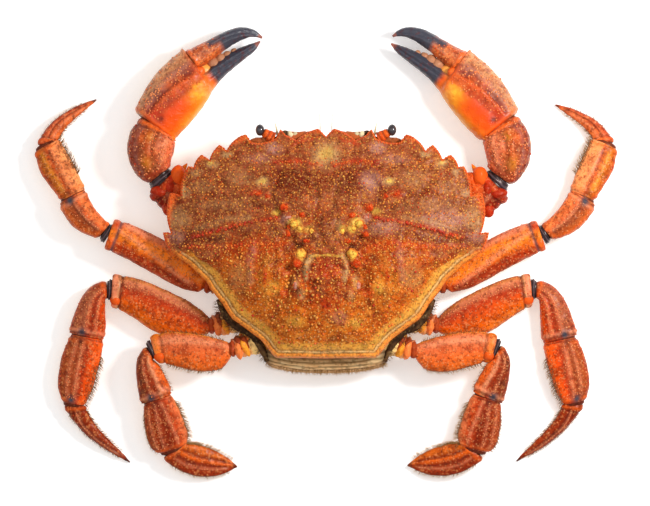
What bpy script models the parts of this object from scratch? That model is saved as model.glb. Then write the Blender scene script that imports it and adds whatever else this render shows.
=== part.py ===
"""A raw brown crab that lies flat on its folded tail, with its claws in front and its legs spread.

Sizes are in millimetres and angles in degrees, and meshes are built in metres. +Y is the crab's
front, +X its right side as seen from above, +Z is up, and the origin is the middle of the flat
underside that it rests on. Headings count from +X towards +Y for the side at +X, and the other
side is the same limb turned over x = 0, with its own lengths and headings.
"""

import math
from dataclasses import dataclass

import bmesh
import bpy
from mathutils import Matrix, Vector

MM = 0.001
GAP = 0.3

# Carapace
SHELL_HEIGHT = 46.0
MARGIN_HEIGHT_FRONT = 29.0
MARGIN_HEIGHT_REAR = 24.5
SHELL_FLOOR = 21.0
RAY_CENTRE_Y = -15.0
DOME_POWER = 2.3
TOOTH_BAND = 0.80
SHELL_RINGS = (1.0, 0.955, 0.9, 0.8, 0.64, 0.42, 0.2)
UNDER_RINGS = ((0.97, 0.35), (0.86, 0.72), (0.66, 1.0))
RIM_GROOVE_DEPTH = 0.5

# Body under the carapace: height, half width, front and rear reach of each level
BODY_LEVELS = (
    (4.7, 26.0, 21.0, -40.0),
    (9.0, 31.0, 29.0, -43.0),
    (15.0, 34.0, 41.0, -44.5),
    (20.6, 39.0, 47.0, -45.0),
)
BODY_SQUARENESS = 2.6
BODY_SIDES = 28

# Tail, from where it comes out under the rear rim, round and forward to its tip:
# y, height of its middle, half width, half thickness
TAIL_PATH = (
    (-45.5, 18.4, 24.0, 1.2),
    (-50.0, 18.6, 28.0, 1.5),
    (-53.2, 16.6, 28.5, 1.8),
    (-54.6, 12.0, 27.6, 2.0),
    (-53.2, 6.8, 26.6, 2.0),
    (-49.0, 3.0, 25.6, 2.0),
    (-43.5, 2.1, 25.0, 2.1),
    (-26.0, 2.1, 25.0, 2.1),
    (-10.0, 2.1, 23.0, 2.1),
    (4.0, 2.1, 18.0, 2.1),
    (13.0, 2.1, 11.0, 2.1),
    (18.0, 2.1, 5.0, 2.1),
)
TAIL_FLAT_SHARE = 0.86
TAIL_FOLDED_FROM = 6

# Mouth plates
PLATE_LENGTH = 23.0
PLATE_WIDTH = 11.2
PLATE_THICKNESS = 3.0
PLATE_MIDDLE = (6.0, 33.4, 7.9)
PLATE_SLOPE = 31.0
PLATE_BEVEL_SHARE = 0.42

# Eyes and their stalks
EYE_MIDDLE = (30.6, 56.0, 26.4)
EYE_RADII = (2.1, 2.7, 2.3)
STALK_ROOT = (25.2, 52.6, 25.0)
STALK_RADIUS_ROOT = 2.3
STALK_RADIUS_TIP = 1.7

CLAW_SIDES = 14
LEG_SIDES = 10
SECTION_ROUNDNESS = 0.85
END_SHARE = 0.72


@dataclass(frozen=True)
class Corner:
    """A corner of the carapace's margin, and how the edge to the next corner runs."""

    x: float
    y: float
    bulge: float = 0.0
    steps: int = 1


# The right half of the margin, from the middle of the front round to the middle of the rear.
MARGIN = (
    Corner(0.0, 53.0),
    Corner(3.7, 56.7, 0.3, 2),
    Corner(11.3, 53.2),
    Corner(13.6, 51.2),
    Corner(18.7, 53.7),
    Corner(21.1, 56.4),
    Corner(23.0, 52.3, -1.2, 3),
    Corner(34.9, 50.4),
    Corner(37.1, 54.0, 0.3),
    Corner(42.0, 51.6, 0.3),
    Corner(46.1, 46.4),
    Corner(49.4, 49.2, 0.5, 2),
    Corner(54.0, 42.2),
    Corner(57.7, 44.6, 0.5, 2),
    Corner(61.4, 38.8),
    Corner(63.9, 39.2, 1.0, 3),
    Corner(67.3, 25.7),
    Corner(72.2, 26.9, 1.6, 3),
    Corner(71.8, 8.2),
    Corner(75.5, 8.6, 0.6, 2),
    Corner(71.4, -0.8, 0.2),
    Corner(63.6, -6.2),
    Corner(55.6, -14.0, 0.3),
    Corner(47.8, -24.6, 0.2),
    Corner(43.2, -31.6),
    Corner(36.8, -36.2),
    Corner(31.2, -40.4, -0.2),
    Corner(27.4, -44.6),
    Corner(23.4, -49.3),
    Corner(0.0, -49.8),
)


@dataclass(frozen=True)
class Swelling:
    """A raised or, with a negative height, a sunken region of the carapace."""

    x: float
    y: float
    radius_x: float
    radius_y: float
    height: float


SWELLINGS = (
    Swelling(12.0, 24.0, 10.0, 11.0, 1.1),
    Swelling(0.0, 9.0, 9.0, 9.0, 0.8),
    Swelling(0.0, -20.0, 11.0, 8.0, 1.1),
    Swelling(0.0, -4.0, 12.0, 2.5, -0.8),
    Swelling(38.0, -6.0, 18.0, 16.0, 1.5),
    Swelling(20.0, -8.0, 4.0, 14.0, -0.8),
    Swelling(26.0, 14.0, 14.0, 3.5, -0.7),
    Swelling(46.0, 24.0, 11.0, 9.0, 0.8),
)


@dataclass(frozen=True)
class Station:
    """A cross-section of a limb's segment."""

    at: float
    inner: float
    outer: float
    above: float
    below: float


@dataclass(frozen=True)
class Shape:
    """How a segment's sections change along it, and how its middle line turns at its two ends."""

    stations: tuple
    turn_in: float = 0.0
    turn_out: float = 0.0
    samples: tuple = (0.0, 0.06, 0.3, 0.64, 0.94, 1.0)


@dataclass(frozen=True)
class Reach:
    """A segment's length, heading and how much higher its far end lies."""

    length: float
    heading: float
    rise: float


def stations(*rows):
    """Cross-sections from rows of: share of the length, inner, outer, above and below."""
    return tuple(Station(*row) for row in rows)


LEG_MEMBRANE = Shape(stations((0, 3.3, 4.2, 3.2, 3.2), (1, 2.8, 3.2, 3.0, 3.0)), samples=(0, 0.3, 0.7, 1))

LEG_SHAPES = {
    "front": {
        "base": Shape(stations((0, 6.6, 6.2, 5.0, 5.0), (1, 5.2, 4.8, 4.0, 3.8)), samples=(0, 0.15, 0.85, 1)),
        "merus": Shape(
            stations(
                (0.0, 5.6, 5.2, 3.6, 3.6),
                (0.2, 7.7, 7.3, 4.8, 4.6),
                (0.5, 8.2, 7.8, 5.0, 4.8),
                (0.85, 7.8, 7.5, 4.8, 4.6),
                (1.0, 7.3, 7.2, 4.6, 4.4),
            ),
            turn_out=-8.0,
        ),
        "carpus": Shape(
            stations(
                (0.0, 3.9, 4.2, 3.6, 3.6),
                (0.2, 3.9, 6.7, 4.4, 4.2),
                (0.5, 4.4, 8.7, 4.8, 4.4),
                (0.85, 5.4, 8.6, 4.6, 4.2),
                (1.0, 5.6, 7.8, 4.3, 4.0),
            ),
            turn_in=-8.0,
            turn_out=14.0,
        ),
        "propodus": Shape(
            stations(
                (0.0, 5.9, 6.4, 4.2, 4.0),
                (0.35, 6.4, 8.0, 4.6, 4.2),
                (0.65, 6.4, 8.8, 4.4, 4.0),
                (1.0, 6.0, 7.0, 3.8, 3.6),
            )
        ),
        "dactyl": Shape(
            stations(
                (0.0, 4.4, 5.2, 2.9, 2.9),
                (0.17, 4.7, 3.0, 2.8, 2.8),
                (0.47, 4.0, 1.9, 2.3, 2.3),
                (0.75, 2.3, 1.4, 1.6, 1.6),
                (1.0, 0.3, 0.3, 0.25, 0.25),
            ),
            turn_in=-52.0,
            turn_out=16.0,
        ),
    },
    "middle": {
        "base": Shape(stations((0, 7.0, 6.6, 5.0, 5.0), (1, 5.0, 4.4, 4.0, 3.8)), samples=(0, 0.15, 0.85, 1)),
        "merus": Shape(
            stations(
                (0.0, 3.4, 2.7, 3.2, 3.2),
                (0.12, 8.2, 4.9, 4.0, 4.0),
                (0.28, 11.8, 6.5, 4.6, 4.4),
                (0.48, 12.7, 6.9, 4.8, 4.6),
                (0.68, 11.0, 7.1, 4.8, 4.6),
                (0.88, 8.8, 7.4, 4.6, 4.4),
                (1.0, 7.4, 7.4, 4.4, 4.2),
            ),
            turn_out=17.0,
            samples=(0.0, 0.05, 0.18, 0.34, 0.52, 0.7, 0.87, 0.96, 1.0),
        ),
        "carpus": Shape(
            stations(
                (0.0, 3.4, 4.0, 3.4, 3.4),
                (0.15, 4.0, 4.7, 4.2, 4.0),
                (0.45, 6.2, 6.3, 4.8, 4.4),
                (0.8, 8.1, 8.0, 4.6, 4.2),
                (1.0, 8.2, 8.4, 4.3, 4.0),
            ),
            turn_in=-62.0,
            turn_out=12.0,
        ),
        "propodus": Shape(
            stations(
                (0.0, 8.0, 7.2, 4.2, 4.0),
                (0.25, 8.4, 9.2, 4.6, 4.2),
                (0.5, 7.8, 9.9, 4.6, 4.2),
                (0.8, 6.6, 8.9, 4.2, 3.8),
                (1.0, 4.4, 5.6, 3.6, 3.4),
            )
        ),
        "dactyl": Shape(
            stations(
                (0.0, 4.8, 5.2, 2.9, 2.9),
                (0.2, 5.4, 2.2, 2.8, 2.8),
                (0.45, 4.7, 1.4, 2.4, 2.4),
                (0.7, 3.1, 1.2, 1.8, 1.8),
                (1.0, 0.3, 0.3, 0.25, 0.25),
            ),
            turn_in=-44.0,
            turn_out=12.0,
        ),
    },
    "rear": {
        "base": Shape(stations((0, 6.8, 6.2, 4.8, 4.6), (1, 4.8, 4.2, 3.6, 3.4)), samples=(0, 0.15, 0.85, 1)),
        "merus": Shape(
            stations(
                (0.0, 2.8, 2.8, 3.0, 3.0),
                (0.1, 8.4, 4.2, 3.8, 3.6),
                (0.3, 10.8, 5.6, 4.4, 4.0),
                (0.5, 10.8, 6.3, 4.6, 4.0),
                (0.7, 9.4, 6.7, 4.4, 4.0),
                (0.9, 7.4, 6.6, 4.2, 3.8),
                (1.0, 6.2, 6.2, 4.0, 3.6),
            ),
            turn_out=17.0,
            samples=(0.0, 0.05, 0.2, 0.36, 0.54, 0.72, 0.88, 0.96, 1.0),
        ),
        "carpus": Shape(
            stations(
                (0.0, 3.2, 2.6, 3.2, 3.2),
                (0.15, 4.2, 2.9, 3.9, 3.7),
                (0.45, 7.1, 4.4, 4.4, 4.0),
                (0.8, 8.0, 6.8, 4.2, 3.8),
                (1.0, 7.7, 7.4, 3.9, 3.6),
            ),
            turn_in=-66.0,
            turn_out=10.0,
        ),
        "propodus": Shape(
            stations(
                (0.0, 7.2, 6.2, 3.8, 3.6),
                (0.25, 8.6, 8.2, 4.2, 3.8),
                (0.5, 9.0, 9.5, 4.2, 3.8),
                (0.85, 8.8, 9.4, 3.6, 3.4),
                (1.0, 6.0, 6.4, 3.0, 3.0),
            )
        ),
        "dactyl": Shape(
            stations(
                (0.0, 6.4, 6.4, 2.4, 2.4),
                (0.17, 8.1, 5.8, 2.4, 2.4),
                (0.4, 8.6, 5.9, 2.2, 2.2),
                (0.62, 7.4, 5.4, 1.8, 1.8),
                (0.82, 4.4, 3.4, 1.2, 1.2),
                (1.0, 0.3, 0.3, 0.25, 0.25),
            ),
            turn_in=-40.0,
            turn_out=8.0,
            samples=(0.0, 0.05, 0.17, 0.34, 0.5, 0.66, 0.82, 0.93, 1.0),
        ),
    },
}

LEG_ROOTS = {
    "front": {"right": (39.1, -11.5, 11.0), "left": (40.1, -11.5, 11.0)},
    "middle": {"right": (34.1, -28.4, 9.0), "left": (35.7, -28.4, 9.0)},
    "rear": {"right": (26.1, -39.2, 14.0), "left": (28.7, -38.4, 14.0)},
}

LEG_REACHES = {
    "front": {
        "right": (
            Reach(16.0, -13.7, 0.5),
            Reach(50.4, 26.7, 1.0),
            Reach(2.4, 32.0, 0.0),
            Reach(23.6, 45.8, -2.0),
            Reach(26.8, 66.5, -4.0),
            Reach(29.2, 141.5, -5.0),
        ),
        "left": (
            Reach(16.0, -13.7, 0.5),
            Reach(50.4, 27.4, 1.0),
            Reach(2.4, 34.0, 0.0),
            Reach(21.8, 49.2, -2.0),
            Reach(26.7, 62.1, -4.0),
            Reach(31.3, 137.1, -5.0),
        ),
    },
    "middle": {
        "right": (
            Reach(18.4, -20.6, -0.4),
            Reach(46.9, 21.1, -0.4),
            Reach(2.2, 0.0, 0.0),
            Reach(25.6, -64.0, -0.8),
            Reach(30.2, -78.5, -2.4),
            Reach(37.7, -134.5, -4.0),
        ),
        "left": (
            Reach(18.8, -21.0, -0.4),
            Reach(48.9, 20.2, -0.4),
            Reach(2.2, 4.0, 0.0),
            Reach(23.6, -66.0, -0.8),
            Reach(32.0, -80.0, -2.4),
            Reach(37.2, -133.8, -4.0),
        ),
    },
    "rear": {
        "right": (
            Reach(16.6, -26.0, 1.2),
            Reach(37.0, 2.1, -1.4),
            Reach(1.8, -20.0, 0.0),
            Reach(23.0, -102.0, -3.0),
            Reach(25.0, -105.5, -3.6),
            Reach(31.8, -166.3, -5.2),
        ),
        "left": (
            Reach(16.8, -26.5, 1.2),
            Reach(36.2, 0.4, -1.4),
            Reach(2.0, -24.0, 0.0),
            Reach(22.6, -98.0, -3.0),
            Reach(24.9, -108.4, -3.6),
            Reach(31.2, -164.9, -5.2),
        ),
    },
}

# The side that each leg's outer edges are on, seen along its heading: +1 left, -1 right
LEG_OUTER_SIDE = {"front": -1, "middle": 1, "rear": 1}
LEG_SEGMENTS = ("base", "merus", "membrane", "carpus", "propodus", "dactyl")
LEG_START_GAPS = {
    "base": 0.0, "merus": 0.4, "membrane": 0.5, "carpus": 0.7, "propodus": 0.5, "dactyl": 1.4
}
LEG_END_GAPS = {"base": 2.4, "merus": 0.3, "membrane": 0.4, "carpus": 0.5, "propodus": 0.8, "dactyl": 0.0}

CLAW_ROOTS = {"right": (37.1, 4.2, 12.0), "left": (36.3, 4.2, 12.0)}
CLAW_SEGMENTS = ("base", "merus", "membrane", "carpus", "wrist", "palm")
CLAW_START_GAPS = {"base": 0.6, "merus": 0.4, "membrane": 0.2, "carpus": 0.6, "palm": 0.3}
CLAW_END_GAPS = {"base": 0.6, "merus": 0.2, "membrane": 0.8, "carpus": 0.0, "palm": 0.0}

CLAW_REACHES = {
    "right": (
        Reach(8.2, 34.4, 0.0),
        Reach(41.0, 33.6, 1.0),
        Reach(3.4, 47.0, 0.0),
        Reach(23.6, 90.2, -0.5),
        Reach(2.0, 50.0, 0.0),
        Reach(63.4, 144.3, -3.4),
    ),
    "left": (
        Reach(8.2, 34.4, 0.0),
        Reach(39.8, 36.2, 1.0),
        Reach(3.2, 50.0, 0.0),
        Reach(22.2, 88.8, -0.5),
        Reach(3.9, 37.7, 0.0),
        Reach(63.0, 143.2, -3.4),
    ),
}

CLAW_SHAPES = {
    "base": Shape(stations((0, 6.0, 6.0, 5.4, 5.4), (1, 5.6, 5.6, 5.2, 5.2)), samples=(0, 0.2, 0.8, 1)),
    "merus": Shape(
        stations(
            (0.0, 5.8, 5.8, 5.4, 5.4),
            (0.3, 8.0, 8.4, 6.8, 6.8),
            (0.7, 8.6, 9.4, 7.2, 7.2),
            (0.9, 8.9, 10.0, 7.2, 7.2),
            (1.0, 9.6, 9.6, 6.8, 6.8),
        ),
        turn_out=10.0,
    ),
    "membrane": Shape(stations((0, 6.0, 6.6, 5.6, 5.6), (1, 5.6, 6.0, 5.4, 5.4)), samples=(0, 0.3, 0.7, 1)),
    "carpus": Shape(
        stations(
            (0.0, 6.4, 6.0, 6.6, 6.6),
            (0.2, 8.2, 9.0, 8.8, 8.4),
            (0.5, 10.4, 11.1, 10.0, 9.4),
            (0.8, 10.4, 10.5, 9.6, 9.2),
            (1.0, 9.6, 8.4, 8.2, 8.2),
        ),
        turn_in=-37.0,
        turn_out=37.0,
        samples=(0.0, 0.06, 0.22, 0.4, 0.6, 0.8, 0.94, 1.0),
    ),
    "palm": Shape(
        stations(
            (0.0, 11.4, 8.6, 8.4, 8.4),
            (0.04, 13.2, 10.2, 9.2, 9.2),
            (0.1, 13.5, 11.4, 9.8, 9.6),
            (0.2, 13.3, 13.4, 10.0, 9.8),
            (0.3, 12.3, 14.9, 9.9, 9.7),
            (0.4, 10.5, 15.8, 9.4, 9.2),
            (0.48, 8.3, 16.3, 8.8, 8.6),
            (0.505, 7.5, 15.8, 8.4, 8.2),
            (0.52, 7.1, 4.2, 6.4, 6.4),
            (0.62, 4.8, 3.0, 5.0, 5.0),
            (0.72, 3.5, 3.8, 4.6, 4.6),
            (0.83, 2.7, 3.2, 3.7, 3.7),
            (0.93, 2.0, 1.8, 2.4, 2.4),
            (1.0, 0.4, 0.4, 0.5, 0.5),
        ),
        turn_in=-16.0,
        turn_out=0.0,
        samples=(0.0, 0.04, 0.1, 0.2, 0.3, 0.4, 0.48, 0.505, 0.52, 0.62, 0.72, 0.83, 0.93, 1.0),
    ),
    "finger": Shape(
        stations(
            (0.0, 4.6, 4.0, 6.0, 6.0),
            (0.15, 5.8, 3.6, 5.8, 5.8),
            (0.3, 5.5, 3.1, 5.2, 5.2),
            (0.5, 4.3, 3.2, 4.4, 4.4),
            (0.7, 2.8, 3.2, 3.5, 3.5),
            (0.87, 1.2, 2.2, 2.4, 2.4),
            (1.0, 0.4, 0.7, 0.5, 0.5),
        ),
        turn_in=-18.0,
        turn_out=50.0,
        samples=(0.0, 0.05, 0.18, 0.34, 0.5, 0.66, 0.8, 0.91, 1.0),
    ),
}

# Knobs that the leg joints turn on, beside the end of the merus: share of its length, outward, up
LEG_KNOBS = {"middle": (0.955, -4.4, 1.9), "rear": (0.945, -3.6, 1.9)}
LEG_KNOB_RADIUS = 2.7

# Features of the claw: share of the segment, outward, up, and their radii
HINGE_KNOB = (0.51, 3.6, 5.4)
HINGE_KNOB_RADII = (2.6, 2.6, 2.6)
MOLARS = {
    "right": ((0.675, 3.2, 1.2, 2.5), (0.77, 3.1, 0.8, 1.5)),
    "left": ((0.66, 3.0, 1.4, 1.9), (0.72, 3.4, 1.2, 1.7), (0.79, 3.0, 0.8, 1.4)),
}
CARPUS_SPINE = ((0.86, -7.0, 4.0), (1.0, -11.6, 5.0))
MERUS_SPINE = ((0.92, -7.0, 2.0), (0.95, -13.6, 2.4))
SPINE_ROOT_RADIUS = 1.7
SPINE_TIP_RADIUS = 0.3

PALM_TURN = -14.5
HINGE_ALONG = 35.8
HINGE_OUTWARD = 4.0
FINGER_LENGTH = {"right": 32.8, "left": 33.4}
FINGER_TURN = {"right": 16.6, "left": 20.0}
FINGER_RISE = -2.0


def clear_scene():
    """Removes every object of the startup scene."""
    for obj in list(bpy.data.objects):
        bpy.data.objects.remove(obj, do_unlink=True)


def collection_named(name, helper=False):
    """A collection linked to the scene; a helper's objects are left out of renders."""
    made = bpy.data.collections.new(name)
    made.hide_render = helper
    bpy.context.scene.collection.children.link(made)
    return made


def material(name, colour, roughness):
    """A dielectric finish of one colour, given as linear red, green and blue."""
    made = bpy.data.materials.new(name)
    made.use_nodes = True
    shader = made.node_tree.nodes["Principled BSDF"]
    shader.inputs["Base Color"].default_value = (*colour, 1.0)
    shader.inputs["Roughness"].default_value = roughness
    shader.inputs["Metallic"].default_value = 0.0
    return made


def smooth_between(rows, at):
    """The row of values at this share, on a smooth curve through rows that start with their share."""
    if at <= rows[0][0]:
        return rows[0][1:]
    if at >= rows[-1][0]:
        return rows[-1][1:]
    low = max(index for index, row in enumerate(rows) if row[0] <= at)
    near = [rows[max(0, min(len(rows) - 1, low + step))] for step in (-1, 0, 1, 2)]
    span = near[2][0] - near[1][0]
    t = (at - near[1][0]) / span
    values = []
    for before, start, end, after in zip(*(row[1:] for row in near)):
        slope_start = (end - before) / max(near[2][0] - near[0][0], 1e-9) * span
        slope_end = (after - start) / max(near[3][0] - near[1][0], 1e-9) * span
        values.append(
            start * (2 * t**3 - 3 * t**2 + 1)
            + slope_start * (t**3 - 2 * t**2 + t)
            + end * (3 * t**2 - 2 * t**3)
            + slope_end * (t**3 - t**2)
        )
    return tuple(values)


def direction(heading, slope=0.0):
    """The unit vector of a heading and a slope."""
    level = math.cos(math.radians(slope))
    return Vector(
        (
            level * math.cos(math.radians(heading)),
            level * math.sin(math.radians(heading)),
            math.sin(math.radians(slope)),
        )
    )


def mesh_object(name, mesh, finish, home):
    """A new object of this mesh, with its finish, in its collection."""
    mesh.materials.append(finish)
    obj = bpy.data.objects.new(name, mesh)
    home.objects.link(obj)
    return obj


def loft(name, rings, finish, home):
    """A closed solid through rings of equally many points, given in millimetres."""
    bm = bmesh.new()
    rows = [[bm.verts.new(Vector(point) * MM) for point in ring] for ring in rings]
    for low, high in zip(rows, rows[1:]):
        bmesh.ops.bridge_loops(bm, edges=ring_edges(bm, low) + ring_edges(bm, high))
    bmesh.ops.contextual_create(bm, geom=ring_edges(bm, rows[0]))
    bmesh.ops.contextual_create(bm, geom=ring_edges(bm, rows[-1]))
    bmesh.ops.recalc_face_normals(bm, faces=bm.faces)
    mesh = bpy.data.meshes.new(name)
    bm.to_mesh(mesh)
    bm.free()
    mesh.shade_smooth()
    mesh.set_sharp_from_angle(angle=math.radians(50))
    return mesh_object(name, mesh, finish, home)


def ring_edges(bm, ring):
    """The edges that join a ring's points in turn, made where they aren't there yet."""
    edges = []
    for start, end in zip(ring, ring[1:] + ring[:1]):
        edges.append(bm.edges.get((start, end)) or bm.edges.new((start, end)))
    return edges


@dataclass
class MiddleLine:
    """The curved middle line of a limb's segment."""

    start: Vector
    end: Vector
    turn_in: float
    turn_out: float

    def ends(self):
        """The line's directions at its start and its end, as long as its chord."""
        chord = self.end - self.start
        first = Matrix.Rotation(math.radians(self.turn_in), 3, "Z") @ chord
        last = Matrix.Rotation(math.radians(self.turn_out), 3, "Z") @ chord
        return first, last

    def point(self, t):
        """The point at share t of the line."""
        first, last = self.ends()
        return (
            self.start * (2 * t**3 - 3 * t**2 + 1)
            + first * (t**3 - 2 * t**2 + t)
            + self.end * (3 * t**2 - 2 * t**3)
            + last * (t**3 - t**2)
        )

    def along(self, t):
        """The line's direction at share t."""
        first, last = self.ends()
        slope = (
            self.start * (6 * t**2 - 6 * t)
            + first * (3 * t**2 - 4 * t + 1)
            + self.end * (6 * t - 6 * t**2)
            + last * (3 * t**2 - 2 * t)
        )
        return slope.normalized()


def beside(line, t, outward, upward, outer_side):
    """The point this far outward and upward of a middle line at share t."""
    along = line.along(t)
    to_left = Vector((-along.y, along.x, 0.0)).normalized()
    up = along.cross(to_left).normalized()
    return line.point(t) + to_left * outer_side * outward + up * upward


def mirrored(point, mirror):
    """A point of the side at +X, or its mirror image over x = 0."""
    return Vector((point.x * mirror, point.y, point.z))


def section(line, t, sizes, outer_side, sides, mirror, scale=1.0):
    """The ring of a segment at share t, with its inner, outer, upper and lower half sizes."""
    inner, outer, above, below = sizes
    middle = line.point(t)
    along = line.along(t)
    to_left = Vector((-along.y, along.x, 0.0)).normalized()
    up = along.cross(to_left).normalized()
    outward = to_left * outer_side
    ring = []
    for index in range(sides):
        angle = 2 * math.pi * index / sides
        across, height = math.cos(angle), math.sin(angle)
        width = outer if across > 0 else inner
        depth = above if height > 0 else below
        point = (
            middle
            + outward * math.copysign(abs(across) ** SECTION_ROUNDNESS, across) * width * scale
            + up * math.copysign(abs(height) ** SECTION_ROUNDNESS, height) * depth * scale
        )
        ring.append(mirrored(point, mirror))
    return ring


def limb_segment(name, line, shape, outer_side, sides, mirror, finish, home):
    """A limb's segment as a solid, with its two ends rounded off."""
    rows = [(s.at, s.inner, s.outer, s.above, s.below) for s in shape.stations]
    last = len(shape.samples) - 1
    rings = []
    for index, t in enumerate(shape.samples):
        scale = END_SHARE if index in (0, last) else 1.0
        rings.append(section(line, t, smooth_between(rows, t), outer_side, sides, mirror, scale))
    return loft(name, rings, finish, home)


def trimmed(start, end, first_gap, last_gap):
    """The two ends of a chord, each drawn in by its gap."""
    along = (end - start).normalized()
    return start + along * first_gap, end - along * last_gap


def sphere(name, middle, radii, finish, home, rings=6, segments=10):
    """A ball or egg as a mesh object, with its own size baked into the mesh."""
    bm = bmesh.new()
    bmesh.ops.create_uvsphere(bm, u_segments=segments, v_segments=rings, radius=1.0)
    bmesh.ops.scale(bm, vec=Vector(radii) * MM, verts=bm.verts)
    bmesh.ops.translate(bm, vec=Vector(middle) * MM, verts=bm.verts)
    mesh = bpy.data.meshes.new(name)
    bm.to_mesh(mesh)
    bm.free()
    mesh.shade_smooth()
    return mesh_object(name, mesh, finish, home)


def spike(name, root, tip, root_radius, tip_radius, finish, home, sides=8):
    """A blunt cone from its root to its tip."""
    root, tip = Vector(root), Vector(tip)
    length = (tip - root).length
    bm = bmesh.new()
    bmesh.ops.create_cone(
        bm,
        cap_ends=True,
        segments=sides,
        radius1=root_radius * MM,
        radius2=tip_radius * MM,
        depth=length * MM,
    )
    turn = (tip - root).to_track_quat("Z", "Y").to_matrix().to_4x4()
    place = Matrix.Translation((root + tip) / 2 * MM) @ turn
    bmesh.ops.transform(bm, matrix=place, verts=bm.verts)
    mesh = bpy.data.meshes.new(name)
    bm.to_mesh(mesh)
    bm.free()
    return mesh_object(name, mesh, finish, home)


def join_feature(body, feature):
    """Grows a knob or spine onto a body by a union, and hides the shape that it came from."""
    feature.hide_render = True
    feature.display_type = "WIRE"
    union = body.modifiers.new(feature.name, "BOOLEAN")
    union.operation = "UNION"
    union.solver = "EXACT"
    union.object = feature


def arc_points(start, end, bulge, steps):
    """Points from start up to, and without, end, on an arc that stands out to the left by bulge."""
    chord = end - start
    outward = Vector((-chord.y, chord.x)).normalized() * bulge
    points = []
    for index in range(steps):
        t = index / steps
        rise = 1 - (2 * t - 1) ** 2
        points.append(start + chord * t + outward * rise)
    return points


def margin_points():
    """The right half of the carapace's margin as points in order, front to rear."""
    points = []
    for corner, following in zip(MARGIN, MARGIN[1:]):
        start = Vector((corner.x, corner.y))
        end = Vector((following.x, following.y))
        points += arc_points(start, end, corner.bulge, corner.steps)
    points.append(Vector((MARGIN[-1].x, MARGIN[-1].y)))
    return points


def toothless_radius(points, index, spread=5):
    """The margin's distance from the ray centre with its teeth averaged away."""
    centre = Vector((0.0, RAY_CENTRE_Y))
    total = 0.0
    for step in range(-spread, spread + 1):
        near = abs(index + step)
        near = near if near < len(points) else 2 * (len(points) - 1) - near
        total += (points[near] - centre).length
    return total / (2 * spread + 1)


def swell(x, y):
    """How much the carapace's regions lift or sink its surface at this place."""
    total = 0.0
    for region in SWELLINGS:
        for side in (1, -1) if region.x else (1,):
            distance = ((x - side * region.x) / region.radius_x) ** 2
            distance += ((y - region.y) / region.radius_y) ** 2
            total += region.height * math.exp(-distance)
    return total


def margin_height(y):
    """The height of the carapace's edge, which falls from its front to its rear."""
    front, rear = MARGIN[1].y, MARGIN[-1].y
    share = (y - rear) / (front - rear)
    return MARGIN_HEIGHT_REAR + (MARGIN_HEIGHT_FRONT - MARGIN_HEIGHT_REAR) * share


def shell_point(points, index, share):
    """The point of the carapace's upper side on the ray to a margin point."""
    centre = Vector((0.0, RAY_CENTRE_Y))
    ray = points[index] - centre
    toothed = max(0.0, (share - TOOTH_BAND) / (1 - TOOTH_BAND))
    radius = ray.length * toothed + toothless_radius(points, index) * (1 - toothed)
    place = centre + ray.normalized() * radius * share
    edge = margin_height(points[index].y)
    dome = 1 - share**DOME_POWER
    height = edge + (SHELL_HEIGHT - edge) * dome + swell(place.x, place.y) * dome**0.5
    if share == SHELL_RINGS[1]:
        height -= RIM_GROOVE_DEPTH
    x = 0.0 if index in (0, len(points) - 1) else place.x
    return Vector((x, place.y, min(height, SHELL_HEIGHT)))


def under_point(points, index, share, drop):
    """The point of the carapace's turned-in lower side on the ray to a margin point."""
    upper = shell_point(points, index, share)
    edge = margin_height(points[index].y)
    return Vector((upper.x, upper.y, edge + (SHELL_FLOOR - edge) * drop))


def make_carapace(finish, home):
    """The domed upper shell with its toothed margin, as half a shell and its mirror image."""
    points = margin_points()
    count = len(points)
    rings = [[shell_point(points, i, share) for i in range(count)] for share in SHELL_RINGS]
    under = [[under_point(points, i, share, drop) for i in range(count)] for share, drop in UNDER_RINGS]
    bm = bmesh.new()
    rows = [[bm.verts.new(point * MM) for point in ring] for ring in under[::-1] + rings]
    top = bm.verts.new(Vector((0.0, RAY_CENTRE_Y, SHELL_HEIGHT)) * MM)
    for low, high in zip(rows, rows[1:]):
        for a, b, c, d in zip(low, low[1:], high[1:], high):
            bm.faces.new((d, c, b, a))
    for a, b in zip(rows[-1], rows[-1][1:]):
        bm.faces.new((top, b, a))
    bm.faces.new(rows[0])
    mesh = bpy.data.meshes.new("carapace")
    bmesh.ops.recalc_face_normals(bm, faces=bm.faces)
    bm.to_mesh(mesh)
    bm.free()
    mesh.shade_smooth()
    mesh.set_sharp_from_angle(angle=math.radians(40))
    obj = mesh_object("carapace", mesh, finish, home)
    mirror = obj.modifiers.new("Other half", "MIRROR")
    mirror.use_axis = (True, False, False)
    mirror.merge_threshold = 0.00001
    return obj


def make_body(finish, home):
    """The breast plate and flanks that carry the limbs, under the carapace."""
    rings = []
    for height, half_width, front, rear in BODY_LEVELS:
        ring = []
        for index in range(BODY_SIDES):
            angle = 2 * math.pi * index / BODY_SIDES
            across, forward = math.cos(angle), math.sin(angle)
            reach = front if forward > 0 else -rear
            power = 2 / BODY_SQUARENESS
            x = math.copysign(abs(across) ** power, across) * half_width
            y = math.copysign(abs(forward) ** power, forward) * reach
            ring.append(Vector((x, y, height)))
        rings.append(ring)
    return loft("sternum", rings, finish, home)


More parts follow.
